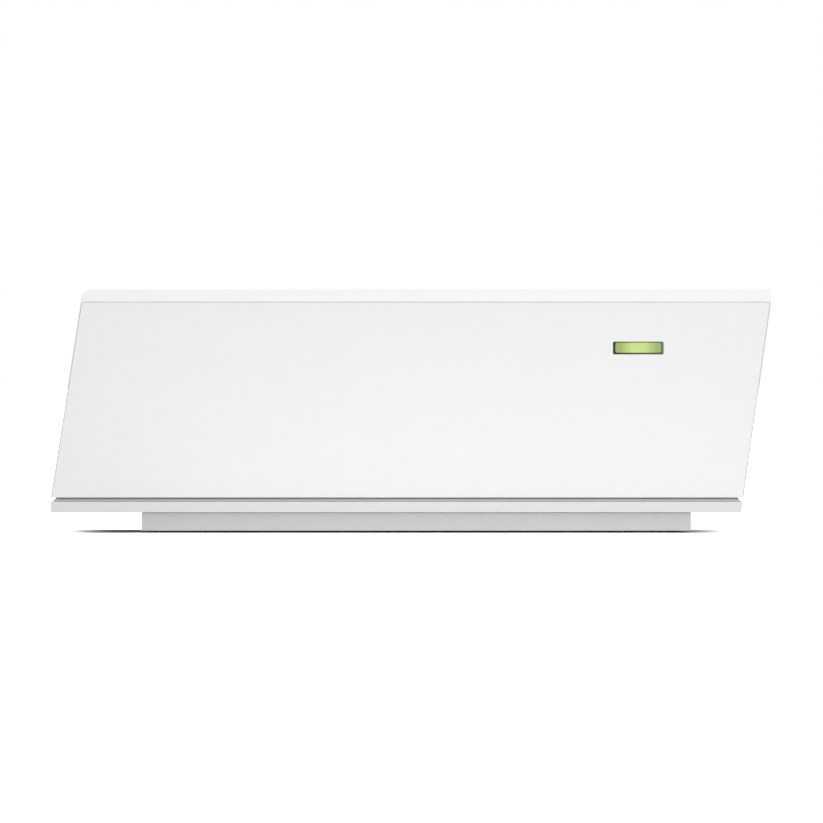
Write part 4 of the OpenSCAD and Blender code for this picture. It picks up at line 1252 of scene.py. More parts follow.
SMALL_ROWS = (
    (10, (-8, -27), (2.6, 0), 0), (7, (-30, -17), (3, 0), 0), (8, (17, -16), (0, 2.6), 1),
    (6, (34.5, -18), (0, 2.6), 1),
    (7, (-28, 12), (3, 0), 0), (6, (36, -31), (2.6, 0), 0),
)
BUSES = (
    ((14, -16), (22.5, -20.5), 8, 0.5), ((14, -4), (22.5, -1.5), 9, 0.5),
    ((-5.5, -13), (-13.5, -10.8), 8, 0.5),
    ((-5.5, -4), (-13.5, -5.6), 9, 0.5), ((-20, -32), (-6, -21), 7, 0.55),
    ((-28.5, 24), (-20, 27), 4, 0.8),
    ((-12, 29), (-2, 21), 5, 0.6), ((2, 22), (20, 16), 4, 0.6), ((-52, -14), (-29, -10), 5, 0.7),
    ((31.5, 17), (36, 12), 4, 0.7), ((-8, -36), (12, -44), 6, 0.7),
    ((6, -46), (44, -46.5), 3, 0.9),
    ((32, 34), (50, 38), 3, 1.1), ((-54, 20), (-30, 24), 4, 0.8), ((-50, -45), (-30, -42), 4, 0.8),
    ((10, 14), (20, 8), 5, 0.55), ((-50, 42), (-20, 44), 4, 0.8),
)


class DOORBELL_OT_board(bpy.types.Operator):
    """Makes the main board with its tracks, holes, pads and printed outlines"""

    bl_idname = "doorbell.board"
    bl_label = "Main board"

    def execute(self, context):
        soften("main_board", 0.08, look("board"))
        z = corners("main_board")[1][2]
        piece("board_tracks", (self.tracks(z), look("track")), "housing", flat=True)
        piece("board_ink", (self.outlines(z), look("ink")), "housing", flat=True)
        rim = [(0.16, 0.045), (0.34, 0.045), (0.4, 0.0), (0.4, -0.02), (0.16, -0.02)]
        grid = np.array([(x, y, z) for x in range(-50, 52, 7) for y in (-44, -21, -12.5, 8, 18.5,
                25, 37)], float)
        sway = np.stack([1.9 * np.sin(grid[:, 1] * 3.1 + grid[:, 0]),
                         1.3 * np.cos(grid[:, 0] * 2.3), 0 * grid[:, 0]], 1)
        holes = copies(turned(rim + rim[:1], (0, 0, 0), steps=12), grid + sway)
        piece("board_holes", (holes, look("gold")), "housing")
        return {"FINISHED"}

    def tracks(self, z):
        """Groups of parallel strips: each goes level, then at 45 degrees by the whole step
        between its ends, then level again; neighbours are set off by the group's gap."""
        paths, broad = [], []
        for (x0, y0), (x1, y1), count, gap in BUSES:
            k = np.arange(count) * gap
            way, rise = np.sign(x1 - x0), abs(y1 - y0)
            bend = (abs(x1 - x0) - rise) / 2
            slip = -0.41 * k * np.sign(y1 - y0) * way
            bent = [(x0 + 0 * k, y0 + k), (x0 + way * bend + slip, y0 + k),
                    (x1 - way * bend + slip, y1 + k),
                    (x1 + 0 * k, y1 + k)]
            (paths if gap < 0.85 else broad).append(np.stack([np.stack(p, -1) for p in bent], 1))
        return joined(ribbons(np.concatenate(paths), 0.24, z - 0.02, z + 0.035),
                      ribbons(np.concatenate(broad), 0.6, z - 0.02, z + 0.035))

    def outlines(self, z):
        """A thin printed frame around each chip, drawn as one strip round its box."""
        frames_of = ["processor", "flash_chip", "video_chip", "audio_chip", "network_transformer",
                     "door_relay",
                     "speaker_plug", "radio_board", "light_holder"]
        paths = []
        for node in frames_of:
            low, high = corners(node)
            x0, y0, x1, y1 = low[0] - 0.6, low[1] - 0.6, high[0] + 0.6, high[1] + 0.6
            paths.append([(x0 + 1, y0), (x1, y0), (x1, y1), (x0, y1), (x0, y0 + 1)])
        return ribbons(np.array(paths), 0.16, z - 0.02, z + 0.03)


class DOORBELL_OT_small(bpy.types.Operator):
    """Makes the small chip parts with tinned ends and their pads, and the crystals"""

    bl_idname = "doorbell.small"
    bl_label = "Small parts"

    def execute(self, context):
        z = corners("small_parts")[0][2]
        bodies = {"brown": [], "chip": []}
        ends, pads = [], []
        for n, (count, start, step, across) in enumerate(SMALL_ROWS):
            for k in range(count):
                c = np.array([start[0] + step[0] * k, start[1] + step[1] * k, z])
                turn = np.array([[0, 1, 0], [1, 0, 0], [0, 0, 1]]) if not across else np.eye(3)
                half = np.array([0.62, 0.48, 0]) @ turn
                tall = (0.6, 0.42)[n % 2]
                bodies["brown" if n % 2 == 0 else "chip"].append((c - half + [0, 0, 0.02],
                        c + half + [0, 0, tall]))
                for s in (-1, 1):
                    e = c + np.array([s * 0.74, 0, 0]) @ turn
                    w = np.array([0.17, 0.5, 0]) @ turn
                    ends.append((e - w, e + w + [0, 0, tall + 0.02]))
                    p = c + np.array([s * 0.95, 0, 0]) @ turn
                    v = np.array([0.35, 0.6, 0]) @ turn
                    pads.append((p - v - [0, 0, 0.02], p + v + [0, 0, 0.07]))

        def made(pairs, radius):
            a, b = np.array(pairs).transpose(1, 0, 2)
            return soft_boxes(a, b, radius)

        piece("small_set", [(made(bodies["brown"], 0.06), look("brown")),
                            (made(bodies["chip"], 0.04), look("chip")),
                            (made(ends, 0.06), look("tin")), (made(pads, 0.03), look("tin"))],
              "housing", ["small_parts"])
        low = corners("crystals")[0]
        spots = [(-21, 7, low[2]), (12, 12, low[2]), (4, -22, low[2])]
        can = joined(*[tower(s, [(2.5, 1.6, 0.5, 0), (2.5, 1.6, 0.5, 0.18), (2.3, 1.4, 0.5, 0.2),
                                 (2.28, 1.38, 0.5, 0.7),
                                 (2.2, 1.3, 0.45, 0.84), (2.05, 1.15, 0.4, 0.9)]) for s in spots])
        piece("crystal_cans", (can, look("can")), "housing", ["crystals"])
        return {"FINISHED"}


class DOORBELL_OT_chips(bpy.types.Operator):
    """Makes the chips: flat packages on a laminate base and moulded ones with bent legs"""

    bl_idname = "doorbell.chips"
    bl_label = "Chips"

    def execute(self, context):
        self.flat("processor", 0.5)
        low, high = corners("memory_chips")
        x = (low[0] + high[0]) / 2
        parts = [self.package((x, y, low[2]), (8, 12.5, 1.1), 0.3) for y in (low[1] + 6.25,
                high[1] - 6.25)]
        self.make("memory_set", parts, "memory_chips")
        c = middle("video_chip")
        z = corners("video_chip")[0][2]
        self.legged("video_set", "video_chip",
                    [((c[0], c[1], z), (11.4, 11.4, 1.1), 20, 0.5, 0.22, True)])
        for node, size, count, pitch in (("flash_chip", (8, 5, 1.5), 4, 1.75),
                                         ("audio_chip", (6, 4, 1.5), 4, 1.25),
                                         ("network_transformer", (12.5, 7, 5.6), 8, 1.44)):
            c, z = middle(node), corners(node)[0][2]
            self.legged(node + "_set", node, [((c[0], c[1], z), size, count, pitch, 0.38, False)])
        low, high = corners("power_chips")
        spots = [(low[0] + 2.5, high[1] - 2.7, low[2]), (high[0] - 2.5, low[1] + 2.7, low[2])]
        self.legged("power_chip_set", "power_chips",
                    [(s, (5, 4, 1.5), 4, 1.0, 0.35, False) for s in spots])
        return {"FINISHED"}

    def package(self, spot, size, base):
        """A resin block on a thin laminate, with a shallow round mark near one corner."""
        x, y, z = spot
        w, d, tall = size
        laminate = pillow((x, y, z + 0.1), (w, d, base), 0.15, 0.04)
        resin = tower((x, y, z), [(w / 2 - 0.3, d / 2 - 0.3, 0.3, base),
                                  (w / 2 - 0.35, d / 2 - 0.35, 0.3, tall - 0.1),
                                  (w / 2 - 0.4, d / 2 - 0.4, 0.3, tall - 0.03),
                                  (w / 2 - 0.5, d / 2 - 0.5, 0.25, tall)])
        dot = turned([(0, 0.02), (0.42, 0.02), (0.5, -0.03)],
                     (x - w / 2 + 1.5, y + d / 2 - 1.5, z + tall), steps=24)
        n = int(min(w, d) // 0.9)
        ball = turned([(0, 0), (0.22, 0.02), (0.28, 0.1), (0.2, 0.18), (0, 0.2)], (0, 0, 0),
                      steps=8)
        k = (np.arange(n) - (n - 1) / 2) * 0.9
        rim = np.array([(x + a, y + b, z) for a in k for b in k if max(abs(a),
                abs(b)) > k[-1] - 1])
        return laminate, resin, dot, copies(ball, rim)

    def make(self, name, parts, node):
        names = ("base", "chip", "mark", "tin")
        skins = [(joined(*[p[k] for p in parts]), look(names[k])) for k in range(4)]
        piece(name, skins, "housing", [node])

    def flat(self, node, base):
        low, high = corners(node)
        c, size = (low + high) / 2, high - low
        self.make(node + "_set", [self.package((c[0], c[1], low[2]), size, base)], node)

    def legged(self, name, node, chips):
        bodies, legs, dots = [], [], []
        for spot, size, count, pitch, width, four in chips:
            body, feet = leaded(spot, size, count, pitch, width, four)
            bodies.append(body)
            legs.append(feet)
            dots.append(turned([(0, 0.02), (0.3, 0.02), (0.36, -0.05)],
                               (spot[0] - size[0] / 2 + 0.9, spot[1] - size[1] / 2 + 0.9,
                                spot[2] + size[2] + 0.1), steps=20))
        piece(name, [(joined(*bodies), look("chip")), (joined(*legs), look("tin")),
                     (joined(*dots), look("mark"))],
              "housing", [node])


class DOORBELL_OT_sink(bpy.types.Operator):
    """Gives the heat sink and its pad their edges and finish"""

    bl_idname = "doorbell.sink"
    bl_label = "Heat sink"

    def execute(self, context):
        soften("heat_sink", 0.14, look("alloy"))
        soften("thermal_pad", 0.12, look("thermal"))
        return {"FINISHED"}


class DOORBELL_OT_radio(bpy.types.Operator):
    """Makes the radio board with its shield and edge pads, both antennas and their leads"""

    bl_idname = "doorbell.radio"
    bl_label = "Radio"

    def execute(self, context):
        soften("radio_board", 0.06, look("board_blue"))
        soften("radio_shield", 0.22, look("can"))
        low, high = corners("radio_board")
        edge = np.arange(low[0] + 1.5, high[0] - 1, 1.5)
        spots = np.array([(x, y, low[2]) for y in (low[1], high[1]) for x in edge])
        pad = turned([(0, -0.02), (0.42, -0.02), (0.45, 0.02), (0.45, 0.8), (0.42, 0.84),
                      (0, 0.84)], (0, 0, 0), steps=16)
        ports = [np.array([-40.5, y, high[2]]) for y in (-27, -35)]
        nut = [(0.5, 0), (1.0, 0), (1.05, 0.05), (1.05, 0.3), (0.95, 0.42), (0.6, 0.42),
               (0.5, 0.35), (0.5, 0)]
        base = joined(*[pillow(p, (2.5, 2.5, 0.3), 0.2, 0.05) for p in ports])
        piece("radio_ports", [(copies(pad, spots), look("gold")), (base, look("ceramic")),
                              (joined(*[turned(nut, p, steps=24) for p in ports]), look("gold"))],
              "housing")
        self.antennas()
        self.leads(ports)
        return {"FINISHED"}

    def antennas(self):
        """Both boards keep their frame node; a square-wave trace stands on the inner face of
        each."""
        soften("antenna_boards", 0.06, look("board_tan"))
        low, high = corners("antenna_boards")
        z0, z1 = low[2] + 1.2, high[2] - 1.2
        wave = []
        for k in range(12):
            u, top = 1.6 * k, k % 2
            wave += [(u, z0 if top else z1), (u, z1 if top else z0)]
        path = np.array([[(-27 + u, v) for u, v in wave]])
        first = ribbons(path, 0.55, low[1] + 0.78, low[1] + 0.85)
        points = first[0][:, [0, 2, 1]]
        path = np.array([[(-32 + u, v) for u, v in wave]])
        second = ribbons(path, 0.55, low[0] + 0.78, low[0] + 0.85)
        other = second[0][:, [2, 0, 1]]
        piece("antenna_traces", (joined((points, first[1]), (other, second[1])), look("gold")),
              "housing")

    def leads(self, ports):
        low = corners("antenna_boards")[0]
        z, r = ports[0][2] - 0.8, 0.55
        x1, y1 = low[0] + 0.8 + r + 0.2, low[1] + 0.8 + r + 0.2
        one = smooth_path([[-40.5, -27, z + 1.4], [-47, -25, z + 3], [-57, -22, z + 7],
                           [x1 + 1.4, -19, z + 11],
                           [x1 + 0.1, -17.5, z + 14], [x1, -16, z + 17]])
        two = smooth_path([[-40.5, -35, z + 1.4], [-42, -41, z + 3.5], [-36, -48, z + 8],
                           [-28, y1 + 1.2, z + 12],
                           [-24, y1 + 0.1, z + 14.5], [-20, y1, z + 17]])
        tubes = joined(swept(one, r, (0.2, 1, 0.1)), swept(two, r, (0.1, 0.3, -1)))
        cap = [(0, 1.35), (1.1, 1.35), (1.3, 1.2), (1.3, 0.45), (1.2, 0.35), (0, 0.35)]
        caps = joined(*[turned(cap, p, steps=28) for p in ports])
        blob = [(0, 0.5), (0.35, 0.42), (0.7, 0.15), (0.95, 0), (0, 0)]
        solder = joined(turned(blob, (x1 - r - 0.15, -16, z + 17.2), "x", 20),
                        turned(blob, (-20, y1 - r - 0.15, z + 17.2), "y", 20))
        piece("antenna_lead_set", [(tubes, look("lead")), (caps, look("can")),
                                   (solder, look("tin"))], "housing",
              ["antenna_leads"])


class DOORBELL_OT_cell(bpy.types.Operator):
    """Makes the coin cell with its rolled rim, its holder and the spring over it"""

    bl_idname = "doorbell.cell"
    bl_label = "Clock battery"

    def execute(self, context):
        low, high = corners("clock_battery")
        c = (low + high) / 2
        profile = [(0, 0), (8.3, 0), (8.8, 0.08), (9.1, 0.3), (9.15, 0.5), (9.5, 0.55), (9.8, 0.6),
                   (9.95, 0.75), (10, 1),
                   (10, 2.8), (9.93, 3.02), (9.75, 3.16), (9.5, 3.2), (7.6, 3.2), (7.4, 3.16),
                   (7.3, 3.1), (0, 3.1)]
        piece("coin_cell", (turned(profile, (c[0], c[1], low[2]), steps=72), look("cell")),
              "housing",
              ["clock_battery"])
        soften("battery_holder", 0.2, look("black"))
        z = high[2]
        path = smooth_path([(c[0] - 11.9, c[1], low[2] - 1.3), (c[0] - 11.95, c[1], z),
                            (c[0] - 11.2, c[1], z + 1.5),
                            (c[0] - 8, c[1], z + 0.9), (c[0] - 4, c[1], z + 0.14),
                            (c[0] - 2.6, c[1], z + 0.5)])
        piece("cell_spring", (strap(path, 3.6, 0.25, (1, 0, 1)), look("gold")),
              "housing")
        return {"FINISHED"}


class DOORBELL_OT_network(bpy.types.Operator):
    """Makes the network jack: sheet shield, black lining, eight sprung contacts and two lights"""

    bl_idname = "doorbell.network"
    bl_label = "Network jack"

    def execute(self, context):
        low, high = corners("network_socket")
        x, z, y1 = (low[0] + high[0]) / 2, low[2], high[1]
        t = 0.22
        outer = np.array([(-3.1, 1.6), (3.1, 1.6), (3.1, 3), (5.9, 3), (5.9, 10.8), (-5.9, 10.8),
                          (-5.9, 3), (-3.1, 3)])
        inner = outer + t * np.array([(1, 1), (-1, 1), (-1, 1), (-1, 1), (-1, -1), (1, -1), (1, 1),
                                      (1, 1)])
        outer = outer + 0.02 * np.sign(inner - outer)
        rows = [(outer, y1 - 14.45), (outer, y1 - 0.25), (inner, y1 - 0.15), (inner, y1 - 14.2)]
        loops = [np.column_stack([x + line[:, 0], np.full(8, y), z + line[:, 1]])
                 for line, y in rows]
        self.contacts(x, y1, z)
        self.shield(low, high, lambda i: np.array([x, z]) + outer - i * np.sign(inner - outer))
        piece("jack_lining", (stacked(loops), look("black")), "housing", flat=True)
        low, high = corners("network_lights")
        left = soft_boxes(low, [low[0] + LAMP_WIDTH, high[1], high[2]], 0.18, 3)
        right = soft_boxes([high[0] - LAMP_WIDTH, low[1], low[2]], high, 0.18, 3)
        piece("jack_lights", [(left, look("green_lamp")), (right, look("amber_lamp"))], "housing",
              ["network_lights"])
        return {"FINISHED"}

    def shield(self, low, high, mouth):
        """A front plate with the mouth and the two light openings, and five thin walls behind
        it."""
        size, mid = (high - low) / 2, (high + low) / 2
        holes = [mouth]
        a, b = corners("network_lights")
        for u0, u1 in ((a[0], a[0] + LAMP_WIDTH), (b[0] - LAMP_WIDTH, b[0])):
            holes.append(((u0 + u1) / 2, (a[2] + b[2]) / 2, (u1 - u0) / 2 + 0.06,
                          (b[2] - a[2]) / 2 + 0.06, 0.2))
        front = plate(lambda i: mid[[0, 2]] + ring(size[0] - i, size[2] - i, 0.4, 4), holes,
                      high[1] - 1, high[1], 0.12)
        t, y = 0.25, high[1] - 0.9
        walls = [((low[0], low[1], low[2]), (low[0] + t, y, high[2])),
                 ((high[0] - t, low[1], low[2]), (high[0], y, high[2])),
                 ((low[0], low[1], low[2]), (high[0], y, low[2] + t)),
                 ((low[0], low[1], high[2] - t), (high[0], y, high[2])),
                 ((low[0], low[1], low[2]), (high[0], low[1] + t, high[2]))]
        skin = joined(front, soft_boxes([w[0] for w in walls], [w[1] for w in walls], 0.1))
        piece("jack_shield", (skin, look("can")), "housing", ["network_socket"])

    def contacts(self, x, y1, z):
        """Eight wires side by side: each leaves the roof at the mouth, slopes down inwards and
        turns up again."""
        path = smooth_path([(0, -4.4, 10.35), (0, -4.9, 9.9), (0, -6.5, 9.55), (0, -10, 8.7),
                            (0, -12.6, 8.05),
                            (0, -13.3, 8.25)])
        one = swept(path, 0.17, (1, 0, 0), 8)
        spots = [(x - 3.57 + 1.02 * k, y1, z) for k in range(8)]
        piece("jack_wires", (copies(one, spots), look("gold")), "housing",
              ["network_contacts"])


class DOORBELL_OT_power(bpy.types.Operator):
    """Makes the power inlet with its pin, the capacitors and the chokes of the supply"""

    bl_idname = "doorbell.power"
    bl_label = "Power supply"

    def execute(self, context):
        a, b = corners("power_socket")
        size, mid, pin = (b - a) / 2, (b + a) / 2, middle("power_pin")
        deep, hole_r = 8.0, 3.15
        front = plate(lambda i: mid[[0, 2]] + ring(size[0] - i, size[2] - i, 0.35, 4),
                      [(pin[0], pin[2], hole_r, hole_r, hole_r)], b[1] - deep, b[1], 0.15)
        rear = soft_boxes(a, [b[0], b[1] - deep + 0.1, b[2]], 0.15)
        piece("power_inlet", (joined(front, rear), look("black")), "housing",
              ["power_socket"])
        low, high = corners("power_pin")
        c, long = pin, high[1] - low[1]
        profile = [(0, 0), (1, 0), (1, long - 0.5), (0.93, long - 0.25), (0.75, long - 0.07),
                   (0.5, long), (0.3, long - 0.05),
               (0.25, long - 0.6), (0, long - 0.6)]
        sleeve = [(2.95, 0.6), (3.12, 0.6), (3.12, 7.8), (2.95, 7.8), (2.95, 0.6)]
        inlet = joined(turned(profile, (c[0], low[1], c[2]), "y", 32),
                       turned(sleeve, (c[0], low[1], c[2]), "y", 40))
        piece("inlet_pin", (inlet, look("can")), "housing", ["power_pin"])
        self.capacitors()
        self.chokes()
        return {"FINISHED"}

    def capacitors(self):
        """Each is a profile turned about its axis, with a crimp above the base and a sleeve
        rolled over the top. The lid's height falls along two crossing grooves as one less a
        smooth step of the distance from them."""
        low = corners("input_capacitors")[0]
        skins = {"sleeve": [], "stripe": [], "alu": [], "black": []}
        for x, y, r, tall in ((34, 32, 4, 11), (25, 32, 4, 11), (38, 21, 3.2, 8)):
            spot, top = (x, y, low[2]), tall + 1
            skins["black"].append(pillow(spot, (2 * r, 2 * r, 0.5), r * 0.3, 0.1))
            side = [(r - 0.35, 0.5), (r - 0.06, 0.62), (r, 0.85), (r, 1.5), (r - 0.3, 1.75),
                    (r - 0.42, 1.95),
                    (r - 0.3, 2.15), (r, 2.4), (r, top - 0.5), (r - 0.12, top - 0.2),
                    (r - 0.4, top - 0.02),
                    (r - 0.75, top), (r - 0.8, top - 0.12)]
            skins["sleeve"].append(turned(side, spot, steps=56))
            light = [(r - 0.02, 2.5), (r + 0.01, 2.55), (r + 0.01, top - 0.55),
                     (r - 0.11, top - 0.2),
                     (r - 0.4, top - 0.005), (r - 0.74, top + 0.01)]
            skins["stripe"].append(turned(light, spot, steps=12, arc=0.9, start=2.4))
            share = np.linspace(0, 1, 14)[:, None]
            angle = np.arange(56) * 2 * math.pi / 56
            u, v = share * (r - 0.72) * np.cos(angle), share * (r - 0.72) * np.sin(angle)
            groove = 0.18 * np.maximum(1 - step_up(np.abs(u) / 0.28),
                                       1 - step_up(np.abs(v) / 0.28)) * (share < 0.85)
            lid = np.stack([u, v, top - 0.1 - groove], -1) + np.array(spot)
            skins["alu"].append((lid.reshape(-1, 3), quads(14, 56, False, True)))
        piece("capacitor_set", [(joined(*s), look(k)) for k, s in skins.items()], "housing",
              ["input_capacitors"])

    def chokes(self):
        """Moulded square blocks with a round core: a ring-shaped groove lies in the top of
        each."""
        z = corners("power_inductors")[0][2]
        blocks, cores, feet = [], [], []
        for x, y, w in ((47, 15, 9), (47, 3, 7)):
            blocks.append(tower((x, y, z), [(w / 2 - 0.1, w / 2 - 0.1, 1, 0.1),
                                            (w / 2, w / 2, 1.1, 0.3), (w / 2, w / 2, 1.1, 3.2),
                                            (w / 2 - 0.15, w / 2 - 0.15, 1.2, 3.6),
                                            (w / 2 - 0.5, w / 2 - 0.5, 1.6, 3.75)]))
            r = w / 2 - 0.9
            cores.append(turned([(0, 4.2), (r - 0.9, 4.2), (r - 0.7, 4.12), (r - 0.65, 3.8),
                                 (r - 0.55, 3.72), (r, 3.72),
                                 (r + 0.05, 3.95), (r + 0.25, 3.98), (r + 0.35, 3.7)], (x, y, z),
                                steps=48))
            feet += [pillow((x + s * (w / 2 - 0.25), y, z), (0.7, w * 0.55, 0.35), 0.1,
                            0.08) for s in (-1, 1)]
        piece("inductor_set", [(joined(*blocks, *cores), look("ferrite")),
                               (joined(*feet), look("tin"))], "housing",
              ["power_inductors"])


class DOORBELL_OT_terminal(bpy.types.Operator):
    """Makes the door wire terminal, its release keys, the relay and the wound ring"""

    bl_idname = "doorbell.terminal"
    bl_label = "Door terminal"

    def execute(self, context):
        soften("door_terminal", 0.14, look("terminal"))
        low, high = corners("door_terminal")
        clamps = []
        for k in (1, 2, 3, 4):
            soften("release_key_%d" % k, 0.16, look("key"))
            x = middle("release_key_%d" % k)[0]
            clamp = [(0.95, 0), (1.23, 0), (1.23, 4.6), (0.95, 4.6), (0.95, 0)]
            clamps.append(turned(clamp, (x, high[1] - 6.6, low[2] + 4), "y", 24))
        piece("wire_clamps", (joined(*clamps), look("can")), "housing")
        low, high = corners("door_relay")
        c = (low + high) / 2
        a, b, tall = (high[0] - low[0]) / 2, (high[1] - low[1]) / 2, high[2] - low[2]
        rows = [(a - 0.3, b - 0.3, 0.3, 0), (a - 0.3, b - 0.3, 0.3, 0.9), (a, b, 0.4, 0.95),
                (a, b, 0.5, tall - 0.5),
                (a - 0.15, b - 0.15, 0.5, tall - 0.15), (a - 0.5, b - 0.5, 0.5, tall),
                (a - 1.2, b - 1.2, 0.6, tall),
                (a - 1.4, b - 1.4, 0.6, tall - 0.15)]
        nib = turned([(0, 0.1), (0.7, 0.1), (0.9, -0.05), (0.9, -0.2)],
                     (c[0] - a + 3, c[1], high[2] - 0.1), steps=24)
        piece("relay_case", (joined(tower((c[0], c[1], low[2]), rows), nib), look("relay")),
              "housing",
              ["door_relay"])
        self.ring()
        return {"FINISHED"}

    def ring(self):
        """A ring core with two windings: the wire's point is at angle t round the core and at
        n * t round its section, so it climbs through the hole and down outside n times a turn."""
        low, high = corners("bus_choke")
        c = (low + high) / 2
        spot = np.array([c[0], c[1], low[2] + 3.2])
        turn = np.linspace(0, 2 * math.pi, 25)
        core = turned(np.stack([4 + 1.5 * np.cos(turn), 1.5 * np.sin(turn)], 1), spot, steps=48)
        wires = []
        for start in (0.25, math.pi + 0.25):
            t = start + np.linspace(0, math.pi - 0.5, 320)
            n = 30
            r = 4 + 1.72 * np.cos(n * t)
            path = np.stack([r * np.cos(t), r * np.sin(t), 1.72 * np.sin(n * t)], 1) + spot
            heading = np.stack([-np.sin(t), np.cos(t), 0 * t], 1)
            wires.append(self.wire(path, heading, 0.24))
        base = pillow((c[0], c[1], low[2]), (10, 10, 1.2), 0.8, 0.2)
        piece("choke_set", [(core, look("ferrite")), (joined(*wires), look("copper")),
                            (base, look("black"))], "housing",
              ["bus_choke"])

    def wire(self, path, up, radius):
        """Round wire whose rings are set by the direction round the core instead of a fixed
        one."""
        side, over = frames(path, up)
        angle = np.arange(8) * math.pi / 4
        loops = path[:, None] + radius * (np.cos(angle)[None, :, None] * side[:, None]
                                          + np.sin(angle)[None, :, None] * over[:, None])
        return stacked(loops)


class DOORBELL_OT_keys(bpy.types.Operator):
    """Makes both key switches with their plungers and the pairing button"""

    bl_idname = "doorbell.keys"
    bl_label = "Keys"

    def execute(self, context):
        for name in ("pair", "reset"):
            soften(name + "_switch", 0.14, look("black"))
            low, high = corners(name + "_plunger")
            c, long, r = middle(name + "_plunger"), high[1] - low[1], (high[0] - low[0]) / 2
            stem = [(0, 0), (r, 0), (r, long - 0.35), (r - 0.1, long - 0.12), (r - 0.35, long),
                    (0, long)]
            piece(name + "_stem", (turned(stem, (c[0], low[1], c[2]), "y", 36), look("ceramic")),
                  name + "_key",
                  [name + "_plunger"])
        low, high = corners("pair_button")
        c, long = middle("pair_button"), high[1] - low[1]
        r = 3.2
        cap = [(0, 0), (2.2, 0), (2.4, 0.2), (2.4, 1.6), (r + 0.8, 1.62), (r + 0.9, 1.72),
               (r + 0.9, 2.7), (r + 0.8, 2.8),
               (r, 2.82), (r, long - 0.45), (r - 0.08, long - 0.2), (r - 0.25, long - 0.05),
               (r - 0.5, long),
               (r - 0.8, long - 0.03), (r - 1.4, long - 0.16), (1.0, long - 0.26), (0, long - 0.3)]
        piece("pair_cap", (turned(cap, (c[0], low[1], c[2]), "y", 56), look("button")), "pair_key",
              ["pair_button"])
        return {"FINISHED"}


class DOORBELL_OT_wheel(bpy.types.Operator):
    """Makes the volume wheel with its grooved edge, and its pot"""

    bl_idname = "doorbell.wheel"
    bl_label = "Volume wheel"

    def execute(self, context):
        soften("volume_pot", 0.12, look("black"))
        c, top = middle("volume_wheel"), corners("volume_wheel")[1][2]
        piece("thumb_wheel", (self.knob((c[0], c[1], top - 3)), look("wheel")), "volume",
              ["volume_wheel"])
        return {"FINISHED"}

    def knob(self, spot, r=8.1, tall=3.0, grooves=30):
        """At angle a the edge's radius is r less a groove as deep as a smooth step of the
        cosine of grooves * a; edges are eased above and below, the top is dished and the shaft
        is a plain round."""
        angle = np.arange(grooves * 8) * 2 * math.pi / (grooves * 8)
        dip = 0.32 * step_up((np.cos(grooves * angle) - 0.1) / 0.8)
        rows = [(1.45, -2.5, 0), (1.5, -2.4, 0), (1.5, -0.05, 0), (1.7, 0, 0), (r - 0.5, 0, 0.3),
                (r - 0.25, 0.06, 0.6),
                (r, 0.35, 1), (r, tall - 0.35, 1), (r - 0.25, tall - 0.06, 0.6),
                (r - 0.5, tall, 0.3), (r - 2.4, tall, 0),
                (r - 2.6, tall - 0.1, 0), (5.4, tall - 0.7, 0), (5.2, tall - 0.8, 0),
                (1.8, tall - 0.8, 0),
                (1.6, tall - 0.72, 0), (1.5, tall - 0.5, 0), (0.5, tall - 0.45, 0)]
        size = np.array([row[0] - row[2] * dip for row in rows])
        height = np.array([row[1] for row in rows])
        loops = np.stack([size * np.cos(angle), size * np.sin(angle),
                          np.repeat(height[:, None], len(angle), 1)], -1)
        return stacked(loops + np.asarray(spot, float))


